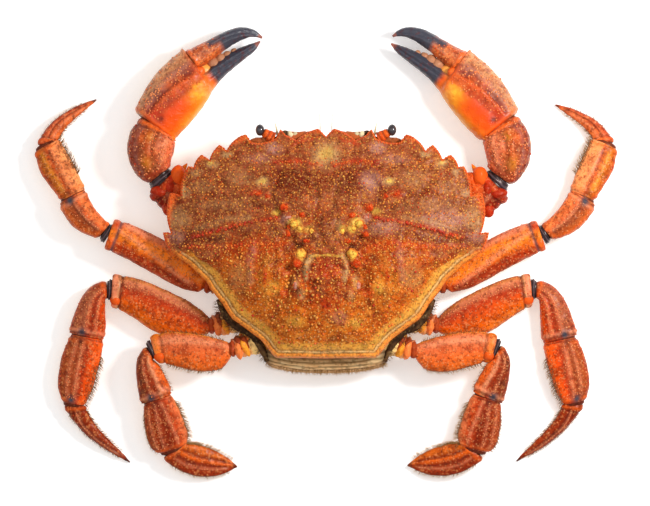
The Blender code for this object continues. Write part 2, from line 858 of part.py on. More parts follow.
def make_tail(finish, home):
    """The broad tail, which comes out behind and lies folded flat against the breast."""
    rings = []
    for index, (y, z, half_width, half_thickness) in enumerate(TAIL_PATH):
        before = TAIL_PATH[max(index - 1, 0)]
        after = TAIL_PATH[min(index + 1, len(TAIL_PATH) - 1)]
        along = Vector((0.0, after[0] - before[0], after[1] - before[1])).normalized()
        folded = index >= TAIL_FOLDED_FROM
        outward = Vector((0.0, 0.0, -1.0)) if folded else Vector((0.0, along.z, -along.y))
        middle = Vector((0.0, y, z))
        flat = half_width * TAIL_FLAT_SHARE
        ring = []
        for x, lift in (
            (-half_width, 0.0),
            (-flat, 1.0),
            (flat, 1.0),
            (half_width, 0.0),
            (flat, -1.0),
            (-flat, -1.0),
        ):
            ring.append(middle + Vector((x, 0, 0)) + outward * lift * half_thickness)
        rings.append(ring)
    return loft("abdomen", rings, finish, home)


def make_mouth_plate(side, mirror, finish, home):
    """One of the two plates that close the mouth, as a cage rounded by subdivision."""
    name = f"maxilliped_{side}"
    bm = bmesh.new()
    bmesh.ops.create_cube(bm, size=1.0)
    bmesh.ops.scale(bm, vec=Vector((PLATE_WIDTH, PLATE_LENGTH, PLATE_THICKNESS)) * MM, verts=bm.verts)
    mesh = bpy.data.meshes.new(name)
    bm.to_mesh(mesh)
    bm.free()
    mesh.shade_smooth()
    obj = mesh_object(name, mesh, finish, home)
    obj.location = Vector((PLATE_MIDDLE[0] * mirror, PLATE_MIDDLE[1], PLATE_MIDDLE[2])) * MM
    obj.rotation_euler = (math.radians(PLATE_SLOPE), 0.0, 0.0)
    bevel = obj.modifiers.new("Rounded edges", "BEVEL")
    bevel.width = PLATE_THICKNESS * PLATE_BEVEL_SHARE * MM
    bevel.segments = 1
    return obj


def make_eye(side, mirror, eye_finish, stalk_finish, home):
    """An egg-shaped eye on its stalk."""
    middle = Vector((EYE_MIDDLE[0] * mirror, EYE_MIDDLE[1], EYE_MIDDLE[2]))
    root = Vector((STALK_ROOT[0] * mirror, STALK_ROOT[1], STALK_ROOT[2]))
    sphere(f"eye_{side}", middle, EYE_RADII, eye_finish, home, rings=7, segments=10)
    towards = (middle - root).normalized()
    tip = middle - towards * (max(EYE_RADII) + GAP)
    spike(f"eyestalk_{side}", root, tip, STALK_RADIUS_ROOT, STALK_RADIUS_TIP, stalk_finish, home, sides=10)


def run_limb(prefix, chain, shapes, gaps, root, outer_side, sides, mirror, finishes, home):
    """The segments of a limb, one after the other from its root, and their middle lines."""
    joint = Vector(root)
    lines = {}
    made = {}
    start_gaps, end_gaps = gaps
    for part, reach in chain:
        slope = math.degrees(math.asin(reach.rise / reach.length))
        end = joint + direction(reach.heading, slope) * reach.length
        if part not in shapes:
            joint = end
            continue
        shape = shapes[part]
        start, stop = trimmed(joint, end, start_gaps[part], end_gaps[part])
        turns = (-outer_side * shape.turn_in, -outer_side * shape.turn_out)
        line = MiddleLine(start, stop, *turns)
        finish = finishes["membrane"] if part == "membrane" else finishes["limb"]
        made[part] = limb_segment(
            f"{prefix}_{part}", line, shape, outer_side, sides, mirror, finish, home
        )
        lines[part] = line
        joint = end
    return lines, made


def make_leg(kind, side, mirror, finishes, home, tools):
    """One walking leg: its five segments and the soft joint after the merus."""
    chain = zip(LEG_SEGMENTS, LEG_REACHES[kind][side])
    shapes = {**LEG_SHAPES[kind], "membrane": LEG_MEMBRANE}
    gaps = (LEG_START_GAPS, LEG_END_GAPS)
    root = LEG_ROOTS[kind][side]
    outer_side = LEG_OUTER_SIDE[kind]
    name = f"leg_{kind}_{side}"
    lines, made = run_limb(
        name, chain, shapes, gaps, root, outer_side, LEG_SIDES, mirror, finishes, home
    )
    if kind in LEG_KNOBS:
        middle = mirrored(beside(lines["merus"], *LEG_KNOBS[kind], outer_side), mirror)
        radii = (LEG_KNOB_RADIUS,) * 3
        knob = sphere(f"{name}_knob", middle, radii, finishes["limb"], tools, rings=5, segments=8)
        join_feature(made["merus"], knob)


def make_claw(side, mirror, finishes, home, tools):
    """One claw arm, with the fixed finger on its palm and the movable finger beside it."""
    chain = list(zip(CLAW_SEGMENTS, CLAW_REACHES[side]))
    gaps = (CLAW_START_GAPS, CLAW_END_GAPS)
    lines, made = run_limb(
        f"claw_{side}", chain, CLAW_SHAPES, gaps, CLAW_ROOTS[side], -1, CLAW_SIDES, mirror, finishes, home
    )
    add_claw_features(side, mirror, lines, made, finishes, tools)
    shape = CLAW_SHAPES["finger"]
    line = finger_line(side, lines["palm"])
    limb_segment(
        f"claw_{side}_finger", line, shape, -1, CLAW_SIDES, mirror, finishes["finger"], home
    )


def add_claw_features(side, mirror, lines, made, finishes, tools):
    """Grows the hinge knob and the molars on the palm, and a spine on the carpus and on the merus."""
    name = f"claw_{side}"
    finish = finishes["limb"]
    middle = mirrored(beside(lines["palm"], *HINGE_KNOB, -1), mirror)
    knob = sphere(f"{name}_knob", middle, HINGE_KNOB_RADII, finish, tools, rings=5, segments=8)
    join_feature(made["palm"], knob)
    for index, (t, outward, upward, radius) in enumerate(MOLARS[side]):
        middle = mirrored(beside(lines["palm"], t, outward, upward, -1), mirror)
        molar = sphere(
            f"{name}_molar_{index}", middle, (radius,) * 3, finishes["finger"], tools, rings=5, segments=7
        )
        join_feature(made["palm"], molar)
    for part, (root, tip) in (("carpus", CARPUS_SPINE), ("merus", MERUS_SPINE)):
        ends = [mirrored(beside(lines[part], *end, -1), mirror) for end in (root, tip)]
        spine = spike(f"{name}_{part}_spine", *ends, SPINE_ROOT_RADIUS, SPINE_TIP_RADIUS, finish, tools)
        join_feature(made[part], spine)


def finger_line(side, palm):
    """The middle line of the movable finger, from its hinge beside the palm's fixed finger."""
    heading = CLAW_REACHES[side][-1].heading
    forward = direction(heading + PALM_TURN)
    outward = direction(heading + PALM_TURN - 90.0)
    root = palm.start + forward * HINGE_ALONG + outward * HINGE_OUTWARD
    length = FINGER_LENGTH[side]
    slope = math.degrees(math.asin(FINGER_RISE / length))
    tip = root + direction(heading + FINGER_TURN[side], slope) * length
    shape = CLAW_SHAPES["finger"]
    return MiddleLine(root, tip, shape.turn_in, shape.turn_out)


def main():
    """Builds every piece of the crab."""
    clear_scene()
    home = collection_named("Raw brown crab")
    tools = collection_named("Knobs and spines", helper=True)
    finishes = {
        "carapace": material("Carapace shell", (0.42, 0.15, 0.04), 0.45),
        "limb": material("Limb shell", (0.58, 0.16, 0.05), 0.4),
        "finger": material("Claw finger", (0.03, 0.03, 0.04), 0.3),
        "membrane": material("Joint membrane", (0.05, 0.06, 0.07), 0.5),
        "underside": material("Underside shell", (0.72, 0.52, 0.30), 0.5),
        "eye": material("Eye", (0.01, 0.01, 0.012), 0.15),
    }
    make_carapace(finishes["carapace"], home)
    make_body(finishes["underside"], home)
    make_tail(finishes["underside"], home)
    for side, mirror in (("right", 1), ("left", -1)):
        make_mouth_plate(side, mirror, finishes["underside"], home)
        make_eye(side, mirror, finishes["eye"], finishes["limb"], home)
        make_claw(side, mirror, finishes, home, tools)
        for kind in LEG_SHAPES:
            make_leg(kind, side, mirror, finishes, home, tools)


main()
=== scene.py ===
"""The looks of a raw brown crab that lies flat on its folded tail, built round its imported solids.

Lengths are millimetres and angles degrees, and meshes are written in metres. +Y is the crab's front,
+X its right side seen from above and +Z is up. A limb is laid out for the side at +X and turned over
x = 0 for the other side. Along a limb's segment a place is given by its share of the length and by
its share across, from -1 at the inner edge to +1 at the outer edge.
"""

import itertools
import logging
import math
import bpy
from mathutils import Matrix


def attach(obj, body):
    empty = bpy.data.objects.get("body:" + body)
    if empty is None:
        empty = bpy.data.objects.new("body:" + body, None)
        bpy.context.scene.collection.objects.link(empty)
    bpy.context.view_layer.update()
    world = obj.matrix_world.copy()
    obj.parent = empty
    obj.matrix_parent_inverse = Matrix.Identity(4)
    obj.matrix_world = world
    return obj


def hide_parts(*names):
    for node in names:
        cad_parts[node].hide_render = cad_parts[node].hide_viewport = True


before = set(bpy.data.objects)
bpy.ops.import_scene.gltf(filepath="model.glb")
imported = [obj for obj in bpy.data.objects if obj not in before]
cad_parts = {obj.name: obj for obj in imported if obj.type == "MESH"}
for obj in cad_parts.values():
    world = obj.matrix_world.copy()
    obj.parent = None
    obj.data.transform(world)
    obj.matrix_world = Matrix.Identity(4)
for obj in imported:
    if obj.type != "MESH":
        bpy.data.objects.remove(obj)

import zlib
from collections.abc import Sequence
from dataclasses import dataclass, field
from enum import Enum

import bpy
import numpy as np
from mathutils import Vector
from mathutils.geometry import delaunay_2d_cdt

# Short names for the types that come up most.
Array = np.ndarray
Tree = bpy.types.NodeTree
Socket = bpy.types.NodeSocket
Pair = tuple[float, float]
Triple = tuple[float, float, float]
Ramp = tuple[tuple[float, str], ...]
Washes = tuple[tuple[str, str], ...]
Layers = tuple[tuple[str, float, float, float, float], ...]

logging.basicConfig(level=logging.INFO, format="%(message)s")
LOG = logging.getLogger("crab")

MM = 0.001
ROW_SHARE = 0.866  # a row's height in a grid of even triangles, as a share of their side
HAIR_THICKNESS = 0.26
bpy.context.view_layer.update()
MIX_FACTOR, MIX_A, MIX_B, MIX_COLOUR = 0, 6, 7, 2


class Slot(Enum):
    """The record's material slots."""

    CARAPACE = "carapace"
    LIMB = "limb"
    FINGER = "finger"
    MEMBRANE = "membrane"
    UNDERSIDE = "underside"
    EYE = "eye"


class LegKind(Enum):
    """The three pairs of walking legs."""

    FRONT = "front"
    MIDDLE = "middle"
    REAR = "rear"


class Side(Enum):
    """The crab's two sides, and the sign that turns the side at +X into each."""

    RIGHT = 1
    LEFT = -1

    @property
    def word(self) -> str:
        """The side's name as the solids spell it."""
        return self.name.lower()


# ---------------- nodes


def linear(colour: str) -> tuple[float, float, float, float]:
    """Turns an sRGB hex colour into linear light.

    Args:
        colour: Six hex digits after a hash.

    Returns:
        Linear red, green, blue and full alpha.
    """
    parts = [int(colour[start : start + 2], 16) / 255 for start in (1, 3, 5)]
    red, green, blue = (p / 12.92 if p <= 0.04045 else ((p + 0.055) / 1.055) ** 2.4 for p in parts)
    return red, green, blue, 1.0


def add_node(
    tree: Tree, kind: str, settings: dict[str, object] | None = None,
    inputs: dict[str | int, object] | None = None, stops: Sequence[tuple[float, str]] = (),
) -> bpy.types.Node:
    """Adds a node, sets its properties and feeds its inputs.

    Args:
        tree: The node tree that takes the node.
        kind: The node's type.
        settings: Its properties by name.
        inputs: Constants or other nodes' outputs, by input name or number.
        stops: Places and hex colours of a colour ramp.

    Returns:
        The new node.
    """
    node = tree.nodes.new(kind)
    for name, value in (settings or {}).items():
        setattr(node, name, value)
    for index, (place, colour) in enumerate(stops):
        elements = node.color_ramp.elements
        element = elements[index] if index < len(elements) else elements.new(place)
        element.position = place
        element.color = linear(colour)
    for key, value in (inputs or {}).items():
        if isinstance(value, Socket):
            tree.links.new(value, node.inputs[key])
        else:
            node.inputs[key].default_value = value
    return node


# ---------------- noise


class Noise:
    """Smooth noise in space, the same on every run."""

    COUNT = 256

    def __init__(self, seed: int) -> None:
        """Draws the noise's slopes.

        Args:
            seed: The number that fixes the draw.
        """
        rng = np.random.default_rng(seed)
        self.order = np.tile(rng.permutation(self.COUNT), 2)
        slopes = rng.normal(size=(self.COUNT, 3))
        self.slopes = slopes / np.linalg.norm(slopes, axis=1, keepdims=True)

    def at(self, points: Array, size: float, layers: int = 1) -> Array:
        """The noise at these points.

        Args:
            points: Places, one a row.
            size: Width of its broadest bumps.
            layers: How many times finer and weaker noise is added.

        Returns:
            Values that lie mostly between -1 and 1.
        """
        total = np.zeros(len(points))
        for layer in range(layers):
            total += self._layer(points / (size / 2**layer) + 17.3 * layer) / 2**layer
        return total * 1.7

    def _layer(self, cells: Array) -> Array:
        """Blends the slopes of the eight corners round each point.

        Args:
            cells: Places in units of the noise's size.

        Returns:
            One value a point.
        """
        low = np.floor(cells).astype(int)
        inside = cells - low
        fade = inside**3 * (inside * (inside * 6 - 15) + 10)
        total = np.zeros(len(cells))
        for corner in itertools.product((0, 1), repeat=3):
            cell = (low + corner) % self.COUNT
            pick = self.order[self.order[self.order[cell[:, 0]] + cell[:, 1]] + cell[:, 2]]
            weight = np.where(np.array(corner) == 1, fade, 1 - fade).prod(1)
            total += weight * ((inside - corner) * self.slopes[pick]).sum(1)
        return total


RELIEF_NOISE = Noise(11)
COLOUR_NOISE = Noise(23)


def fade(values: Array, low: float, high: float) -> Array:
    """A smooth step from 0 at low to 1 at high.

    Args:
        values: The values to step on.
        low: Where the step starts.
        high: Where it ends, which may lie below low.

    Returns:
        The stepped values.
    """
    share = np.clip((values - low) / (high - low), 0, 1)
    return share * share * (3 - 2 * share)


def bell(values: Array, middle: float, width: float) -> Array:
    """A bell curve: 1 at the middle, 0.37 one width away from it."""
    return np.exp(-(((values - middle) / width) ** 2))


def unit(vectors: Array) -> Array:
    """Scales the vectors of an array's last axis to length 1."""
    return vectors / np.maximum(np.linalg.norm(vectors, axis=-1, keepdims=True), 1e-9)


# ---------------- meshes


@dataclass
class Surface:
    """Points, triangles and painted masks of a piece before it becomes a mesh."""

    points: Array
    faces: Array
    masks: dict[str, Array] = field(default_factory=dict)

    def mirrored(self) -> "Surface":
        """The same surface turned over x = 0, with its triangles still facing out."""
        return Surface(self.points * (-1, 1, 1), self.faces[:, ::-1], self.masks)

    @staticmethod
    def joined(parts: Sequence["Surface"]) -> "Surface":
        """Joins surfaces into one.

        Args:
            parts: The surfaces to join.

        Returns:
            One surface that holds every mask that a part has, at 0 where a part lacks it.
        """
        starts = np.cumsum([0] + [len(part.points) for part in parts])
        faces = [part.faces + start for part, start in zip(parts, starts)]
        names = sorted({name for part in parts for name in part.masks})
        masks = {
            name: np.concatenate([part.masks.get(name, np.zeros(len(part.points))) for part in parts])
            for name in names
        }
        return Surface(np.concatenate([part.points for part in parts]), np.concatenate(faces), masks)

    def build(self, name: str, material: bpy.types.Material, slot: Slot, *nodes: str) -> bpy.types.Object:
        """Makes the piece, rides it on the crab and takes the place of its solids.

        Args:
            name: The piece's name.
            material: Its finish.
            slot: The record's slot of that finish; not used.
            nodes: The solids that the piece stands for.

        Returns:
            The new object.
        """
        mesh = bpy.data.meshes.new(name)
        mesh.from_pydata((self.points * MM).tolist(), [], self.faces.tolist())
        for mask, values in self.masks.items():
            attribute = mesh.attributes.new(mask, "FLOAT", "POINT")
            attribute.data.foreach_set("value", values.astype(np.float32))
        mesh.shade_smooth()
        mesh.materials.append(material)
        piece = bpy.data.objects.new(name, mesh)
        bpy.context.scene.collection.objects.link(piece)
        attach(piece, "root")
        if nodes:
            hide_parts(*nodes)
        LOG.info("%s: %d triangles", name, len(self.faces))
        return piece


def grid_faces(rows: int, columns: int, first: int = 0) -> Array:
    """Triangles of a tube of points, row after row, whose rows close on themselves.

    Args:
        rows: Number of rings.
        columns: Points in a ring.
        first: Number of the first point.

    Returns:
        Triangles that face out where the rings run anticlockwise seen against the rows' direction.
    """
    low = np.arange(rows - 1)[:, None] * columns + np.arange(columns)
    side = np.arange(rows - 1)[:, None] * columns + (np.arange(columns) + 1) % columns
    a, b, c, d = low.ravel(), side.ravel(), (side + columns).ravel(), (low + columns).ravel()
    return np.concatenate([np.stack([a, b, c], 1), np.stack([a, c, d], 1)]) + first


def closed_tube(rings: Array) -> Surface:
    """A tube of points, closed by a point at the middle of each end.

    Args:
        rings: The rings of the tube, each with equally many points.

    Returns:
        The tube with its triangles facing out, the two end points last.
    """
    rows, columns = rings.shape[:2]
    points = np.concatenate([rings.reshape(-1, 3), rings[[0, -1]].mean(1)])
    around = np.arange(columns)
    after = (around + 1) % columns
    base = (rows - 1) * columns
    start = np.stack([np.full(columns, rows * columns), after, around], 1)
    stop = np.stack([base + around, base + after, np.full(columns, rows * columns + 1)], 1)
    faces = np.concatenate([grid_faces(rows, columns), start, stop])
    a, b, c = (points[faces[:, i]] - points.mean(0) for i in range(3))
    inside_out = float((np.cross(a, b) * c).sum()) < 0
    return Surface(points, faces[:, ::-1] if inside_out else faces)


def beads(places: Array, normals: Array, radii: Array, tints: Array) -> Surface:
    """Low domes that stand on a surface.

    Args:
        places: Where each bead stands.
        normals: The surface's direction there.
        radii: Each bead's radius.
        tints: Each bead's place on its colour scale.

    Returns:
        All beads as one surface with the masks "tint" and "rise".
    """
    sides = 6
    levels = ((1.0, -0.25), (0.78, 0.5))
    angles = np.arange(sides) * 2 * math.pi / sides
    template = [(r * math.cos(a), r * math.sin(a), h) for r, h in levels for a in angles] + [(0, 0, 0.86)]
    shape = np.array(template)
    rise = np.array([0.0] * sides + [0.6] * sides + [1.0])
    ring = grid_faces(2, sides)
    cap = np.array([[sides + i, sides + (i + 1) % sides, 2 * sides] for i in range(sides)])
    faces = np.concatenate([ring, cap])
    helper = np.where(np.abs(normals[:, 2:]) > 0.9, [[1.0, 0.0, 0.0]], [[0.0, 0.0, 1.0]])
    first = unit(np.cross(helper, normals))
    second = np.cross(normals, first)
    basis = np.stack([first, second, normals], 1)
    points = np.einsum("tk,nkj->ntj", shape, basis) * radii[:, None, None] + places[:, None]
    count = len(shape)
    every = (np.arange(len(places))[:, None, None] * count + faces).reshape(-1, 3)
    masks = {"tint": np.repeat(tints, count), "rise": np.tile(rise, len(places))}
    return Surface(points.reshape(-1, 3), every, masks)


def hairs(
    roots: Array, ways: Array, bends: Array, lengths: Array, thickness: float, tints: Array
) -> Surface:
    """Thin tapered bristles.

    Args:
        roots: Where each bristle starts.
        ways: The direction that it starts in.
        bends: How far its tip bends away from that, as a share of its length.
        lengths: How long each is.
        thickness: Diameter at the root.
        tints: Each bristle's place on its colour scale.

    Returns:
        All bristles as one surface with the masks "tint" and "rise".
    """
    sides, levels = 3, 4
    shares = np.linspace(0, 1, levels)
    ways = unit(ways)
    first = unit(np.cross(ways, [[0.13, 0.31, 0.94]]))
    second = np.cross(ways, first)
    middles = roots[:, None] + lengths[:, None, None] * (
        ways[:, None] * shares[None, :, None] + bends[:, None] * (shares**2)[None, :, None]
    )
    widths = thickness / 2 * (1 - 0.9 * shares)
    angles = np.arange(sides) * 2 * math.pi / sides
    round_it = (
        first[:, None, None] * np.cos(angles)[None, None, :, None]
        + second[:, None, None] * np.sin(angles)[None, None, :, None]
    )
    points = middles[:, :, None] + round_it * widths[None, :, None, None]
    count = sides * levels
    faces = grid_faces(levels, sides)
    every = (np.arange(len(roots))[:, None, None] * count + faces).reshape(-1, 3)
    masks = {"tint": np.repeat(tints, count), "rise": np.tile(np.repeat(shares, sides), len(roots))}
    return Surface(points.reshape(-1, 3), every, masks)


# ---------------- finishes


@dataclass(frozen=True)
class ShellFinish:
    """Crab shell: chitin hardened with lime, grown with granules and pits, waxy over a dull body.

    Its colour lies in layers under a thin gloss, so bands wander into each other and the eye sees dark
    mottling in the hollows and pale flecks on the high places.
    """

    name: str
    tones: Ramp
    washes: Washes = ()
    wander: float = 0.12
    layers: Layers = (
        ("#5c1604", 4.2, 0.6, 0.47, 0.66), ("#44140a", 1.6, 0.45, 0.53, 0.68),
        ("#d88a34", 1.3, 0.45, 0.54, 0.7),
    )
    dots: Ramp = ((0, "#e8a048"), (0.4, "#da7822"), (0.65, "#c44414"), (0.85, "#8a1e0c"), (1, "#f0b868"))
    flecks: Layers = ()
    dot_cell: float = 1.2
    dot_strength: float = 0.7
    dot_height: float = 0.22
    dots_over: float = 0.0
    roughness: float = 0.4
    specular: float = 0.14
    coat: float = 0.04
    sheen: str = "#ffb888"
    grain_size: float = 0.8
    grain_depth: float = 0.12

    def material(self) -> bpy.types.Material:
        """Builds the finish once and hands out the same material after that.

        Returns:
            The finish as a material.
        """
        if self.name in bpy.data.materials:
            return bpy.data.materials[self.name]
        made = bpy.data.materials.new(self.name)
        made.use_nodes = True
        tree = made.node_tree
        shader = tree.nodes["Principled BSDF"]
        place = add_node(tree, "ShaderNodeTexCoord").outputs["Object"]
        plain = self._toned(tree, place)
        share, ink = self._dots(tree, place)
        colour = self._over(tree, self._mottled(tree, place, plain, self.layers), ink, share)
        smooth = add_node(tree, "ShaderNodeAttribute", {"attribute_name": "smooth"}).outputs["Fac"]
        colour = self._over(tree, colour, plain, smooth)
        for mask, wash in self.washes:
            painted = add_node(tree, "ShaderNodeAttribute", {"attribute_name": mask}).outputs["Fac"]
            colour = self._over(tree, colour, linear(wash), painted)
        colour = self._over(tree, self._mottled(tree, place, colour, self.flecks), colour, smooth)
        if self.dots_over:
            faint = add_node(tree, "ShaderNodeMath", {"operation": "MULTIPLY"}, {0: share, 1: self.dots_over})
            colour = self._over(tree, colour, ink, faint.outputs[0])
        tree.links.new(colour, shader.inputs["Base Color"])
        self._gloss(tree, place, share, shader)
        return made

    def _toned(self, tree: Tree, place: Socket) -> Socket:
        """Turns the mask "tone" into colour along the scale, with edges that wander.

        Args:
            tree: The material's nodes.
            place: Where on the piece the colour is asked for.

        Returns:
            The colour's socket.
        """
        broad = {"Vector": place, "Scale": 1 / (4.5 * MM), "Detail": 3.0, "Roughness": 0.6}
        drift = add_node(tree, "ShaderNodeTexNoise", inputs=broad).outputs["Fac"]
        tone = add_node(tree, "ShaderNodeAttribute", {"attribute_name": "tone"}).outputs["Fac"]
        shifted = {0: drift, 1: self.wander * 2, 2: -self.wander}
        offset = add_node(tree, "ShaderNodeMath", {"operation": "MULTIPLY_ADD"}, shifted).outputs[0]
        total = add_node(tree, "ShaderNodeMath", {"operation": "ADD"}, {0: tone, 1: offset}).outputs[0]
        return add_node(tree, "ShaderNodeValToRGB", inputs={"Fac": total}, stops=self.tones).outputs["Color"]

    def _over(self, tree: Tree, under: Socket, over: object, share: Socket) -> Socket:
        """Lays one colour over another.

        Args:
            tree: The material's nodes.
            under: The colour below.
            over: The colour on top, as a constant or a socket.
            share: How much of the top colour shows.

        Returns:
            The mixed colour's socket.
        """
        inputs = {MIX_FACTOR: share, MIX_A: under, MIX_B: over}
        return add_node(tree, "ShaderNodeMix", {"data_type": "RGBA"}, inputs).outputs[MIX_COLOUR]

    def _mottled(self, tree: Tree, place: Socket, colour: Socket, layers: Layers) -> Socket:
        """Adds dark blotches and pale flecks, each layer with its own width and strength.

        Args:
            tree: The material's nodes.
            place: Where on the piece the colour is asked for.
            colour: The colour below.
            layers: Each layer's colour, width in mm, strength and where the noise starts and ends.

        Returns:
            The mottled colour's socket.
        """
        for index, (ink, size, strength, low, high) in enumerate(layers):
            settings = {"noise_dimensions": "4D"}
            spread = {"Vector": place, "W": 3.1 + 4.6 * index, "Scale": 1 / (size * MM), "Detail": 2.5}
            noise = add_node(tree, "ShaderNodeTexNoise", settings, spread).outputs["Fac"]
            limits = {"Value": noise, "From Min": low, "From Max": high, "To Max": strength}
            share = add_node(tree, "ShaderNodeMapRange", inputs=limits).outputs["Result"]
            colour = self._over(tree, colour, linear(ink), share)
        return colour

    def _dots(self, tree: Tree, place: Socket) -> tuple[Socket, Socket]:
        """The fine granules, too small to stand up as beads of their own.

        Real ones are about 0.3 mm wide; they are drawn up to twice as wide, so that they show.

        Args:
            tree: The material's nodes.
            place: Where on the piece they are asked for.

        Returns:
            How much of a granule shows, and its colour.
        """
        cells = {"Vector": place, "Scale": 1 / (self.dot_cell * MM), "Randomness": 0.9}
        found = add_node(tree, "ShaderNodeTexVoronoi", inputs=cells)
        parts = add_node(tree, "ShaderNodeSeparateColor", inputs={"Color": found.outputs["Color"]})
        distance = found.outputs["Distance"]
        limits = {"Value": distance, "From Min": 0.42, "From Max": 0.2, "To Max": self.dot_strength}
        near = add_node(tree, "ShaderNodeMapRange", inputs=limits).outputs["Result"]
        some = {"Value": parts.outputs["Green"], "From Min": 0.15, "From Max": 0.5}
        strong = add_node(tree, "ShaderNodeMapRange", inputs=some).outputs["Result"]
        share = add_node(tree, "ShaderNodeMath", {"operation": "MULTIPLY"}, {0: near, 1: strong}).outputs[0]
        tint = {"Fac": parts.outputs["Red"]}
        return share, add_node(tree, "ShaderNodeValToRGB", inputs=tint, stops=self.dots).outputs["Color"]

    def _gloss(self, tree: Tree, place: Socket, dots: Socket, shader: bpy.types.Node) -> None:
        """Sets the waxy surface: uneven roughness, a thin wet coat and the fine grain's bump.

        Args:
            tree: The material's nodes.
            place: Where on the piece the surface is asked for.
            dots: How much of a fine granule stands there.
            shader: The material's shader node.
        """
        fine = {"Vector": place, "Scale": 1 / (self.grain_size * MM), "Detail": 4.0, "Roughness": 0.6}
        grain = add_node(tree, "ShaderNodeTexNoise", inputs=fine).outputs["Fac"]
        spread = {"Value": grain, "To Min": self.roughness - 0.12, "To Max": self.roughness + 0.14}
        rough = add_node(tree, "ShaderNodeMapRange", inputs=spread).outputs["Result"]
        depth = {"Height": grain, "Strength": 0.8, "Distance": self.grain_depth * MM}
        bump = add_node(tree, "ShaderNodeBump", inputs=depth).outputs["Normal"]
        raised = {"Height": dots, "Strength": 0.9, "Distance": self.dot_height * MM, "Normal": bump}
        bump = add_node(tree, "ShaderNodeBump", inputs=raised).outputs["Normal"]
        tree.links.new(rough, shader.inputs["Roughness"])
        tree.links.new(bump, shader.inputs["Normal"])
        shader.inputs["Specular IOR Level"].default_value = self.specular
        shader.inputs["Specular Tint"].default_value = linear(self.sheen)
        shader.inputs["Coat Weight"].default_value = self.coat
        shader.inputs["Coat Roughness"].default_value = 0.22


@dataclass(frozen=True)
class GrowthFinish:
    """Small things grown on the shell, such as beads and bristles: horn that darkens from tip to root.

    Each has its own tint, and its lowest part is painted darker, as shade where it meets the surface, so that
    it stands out as separate to the eye.
    """

    name: str
    tints: Ramp
    foot: str = "#5a2410"
    foot_strength: float = 0.6
    roughness: float = 0.4

    def material(self) -> bpy.types.Material:
        """Builds the finish once and hands out the same material after that.

        Returns:
            The finish as a material.
        """
        if self.name in bpy.data.materials:
            return bpy.data.materials[self.name]
        made = bpy.data.materials.new(self.name)
        made.use_nodes = True
        tree = made.node_tree
        shader = tree.nodes["Principled BSDF"]
        tint = add_node(tree, "ShaderNodeAttribute", {"attribute_name": "tint"}).outputs["Fac"]
        rise = add_node(tree, "ShaderNodeAttribute", {"attribute_name": "rise"}).outputs["Fac"]
        top = add_node(tree, "ShaderNodeValToRGB", inputs={"Fac": tint}, stops=self.tints).outputs["Color"]
        # The lowest part mixes towards the darker colour: painted shade where the bead or bristle meets the
        # surface.
        span = {"Value": rise, "From Max": 0.75, "To Min": self.foot_strength, "To Max": 0.0}
        low = add_node(tree, "ShaderNodeMapRange", inputs=span).outputs["Result"]
        inputs = {MIX_FACTOR: low, MIX_A: top, MIX_B: linear(self.foot)}
        mixed = add_node(tree, "ShaderNodeMix", {"data_type": "RGBA"}, inputs).outputs[MIX_COLOUR]
        tree.links.new(mixed, shader.inputs["Base Color"])
        shader.inputs["Roughness"].default_value = self.roughness
        shader.inputs["Specular IOR Level"].default_value = 0.25
        return made


SHELL_TONES = ((0, "#701f0c"), (0.25, "#984f2e"), (0.5, "#a63608"), (0.75, "#cb6212"), (1, "#f8a444"))
# The dark wash is partly the shell's own dark patches and partly painted shade in its pits and furrows; the
# groove wash is painted shade in the rear rim's grooves.
SHELL_WASHES = (
    ("mauve", "#bc8676"), ("tan", "#b68e5e"), ("dark", "#461610"), ("yellow", "#f0c64e"), ("red", "#c42c0a"),
    ("edge", "#e65c20"), ("band", "#f8943a"), ("welt", "#e6c080"), ("groove", "#6a5830"),
)
UNDERSIDE_WASH = ("pale", "#e9bd86")

CARAPACE_SHELL = ShellFinish(
    "Carapace chitin, grown and granular", SHELL_TONES, SHELL_WASHES + (UNDERSIDE_WASH,),
    flecks=(("#3a0e08", 1, 0.55, 0.51, 0.65), ("#f4b868", 0.8, 0.24, 0.54, 0.7)), dots_over=0.55,
)
# The dark wash is partly the limbs' own dark marks and partly painted shade in grooves, pits and hollow ends;
# the pink wash is partly their own colour and partly a painted highlight along ridge crests.
LIMB_WASHES = (
    UNDERSIDE_WASH, ("yellow", "#f4ac24"), ("cream", "#fbd490"), ("pink", "#f4966c"), ("mauve", "#8c5e5a"),
    ("orange", "#f0641c"), ("red", "#bc2a0c"), ("dark", "#3a1614"), ("slate", "#3c3c46"), ("tip", "#b06048"),
)


LIMB_MOTTLING = (
    ("#8a2606", 3.4, 0.6, 0.48, 0.64), ("#3e120a", 1.1, 0.6, 0.54, 0.66), ("#f29c5c", 1.4, 0.4, 0.54, 0.68)
)
LIMB_FLECKS = (("#5a1408", 1.9, 0.5, 0.54, 0.66),)
LIMB_DOTS = ((0, "#f0a468"), (0.3, "#e8844c"), (0.55, "#cc501e"), (0.8, "#8e2e12"), (1, "#f4b884"))


def limb_shell(name: str, *tones: tuple[float, str], **changes: object) -> ShellFinish:
    """A limb's shell, with its colours from the inner edge to the outer edge.

    Args:
        name: What part's shell it is.
        tones: Places from 0 to 1 and their colours.
        changes: Other fields of the finish.

    Returns:
        The finish.
    """
    settings = {"dots": LIMB_DOTS, "dot_strength": 0.5, "layers": LIMB_MOTTLING, "flecks": LIMB_FLECKS}
    settings |= {"specular": 0.2, "coat": 0.07} | changes
    return ShellFinish(f"{name}, grown chitin", tones, LIMB_WASHES, **settings)


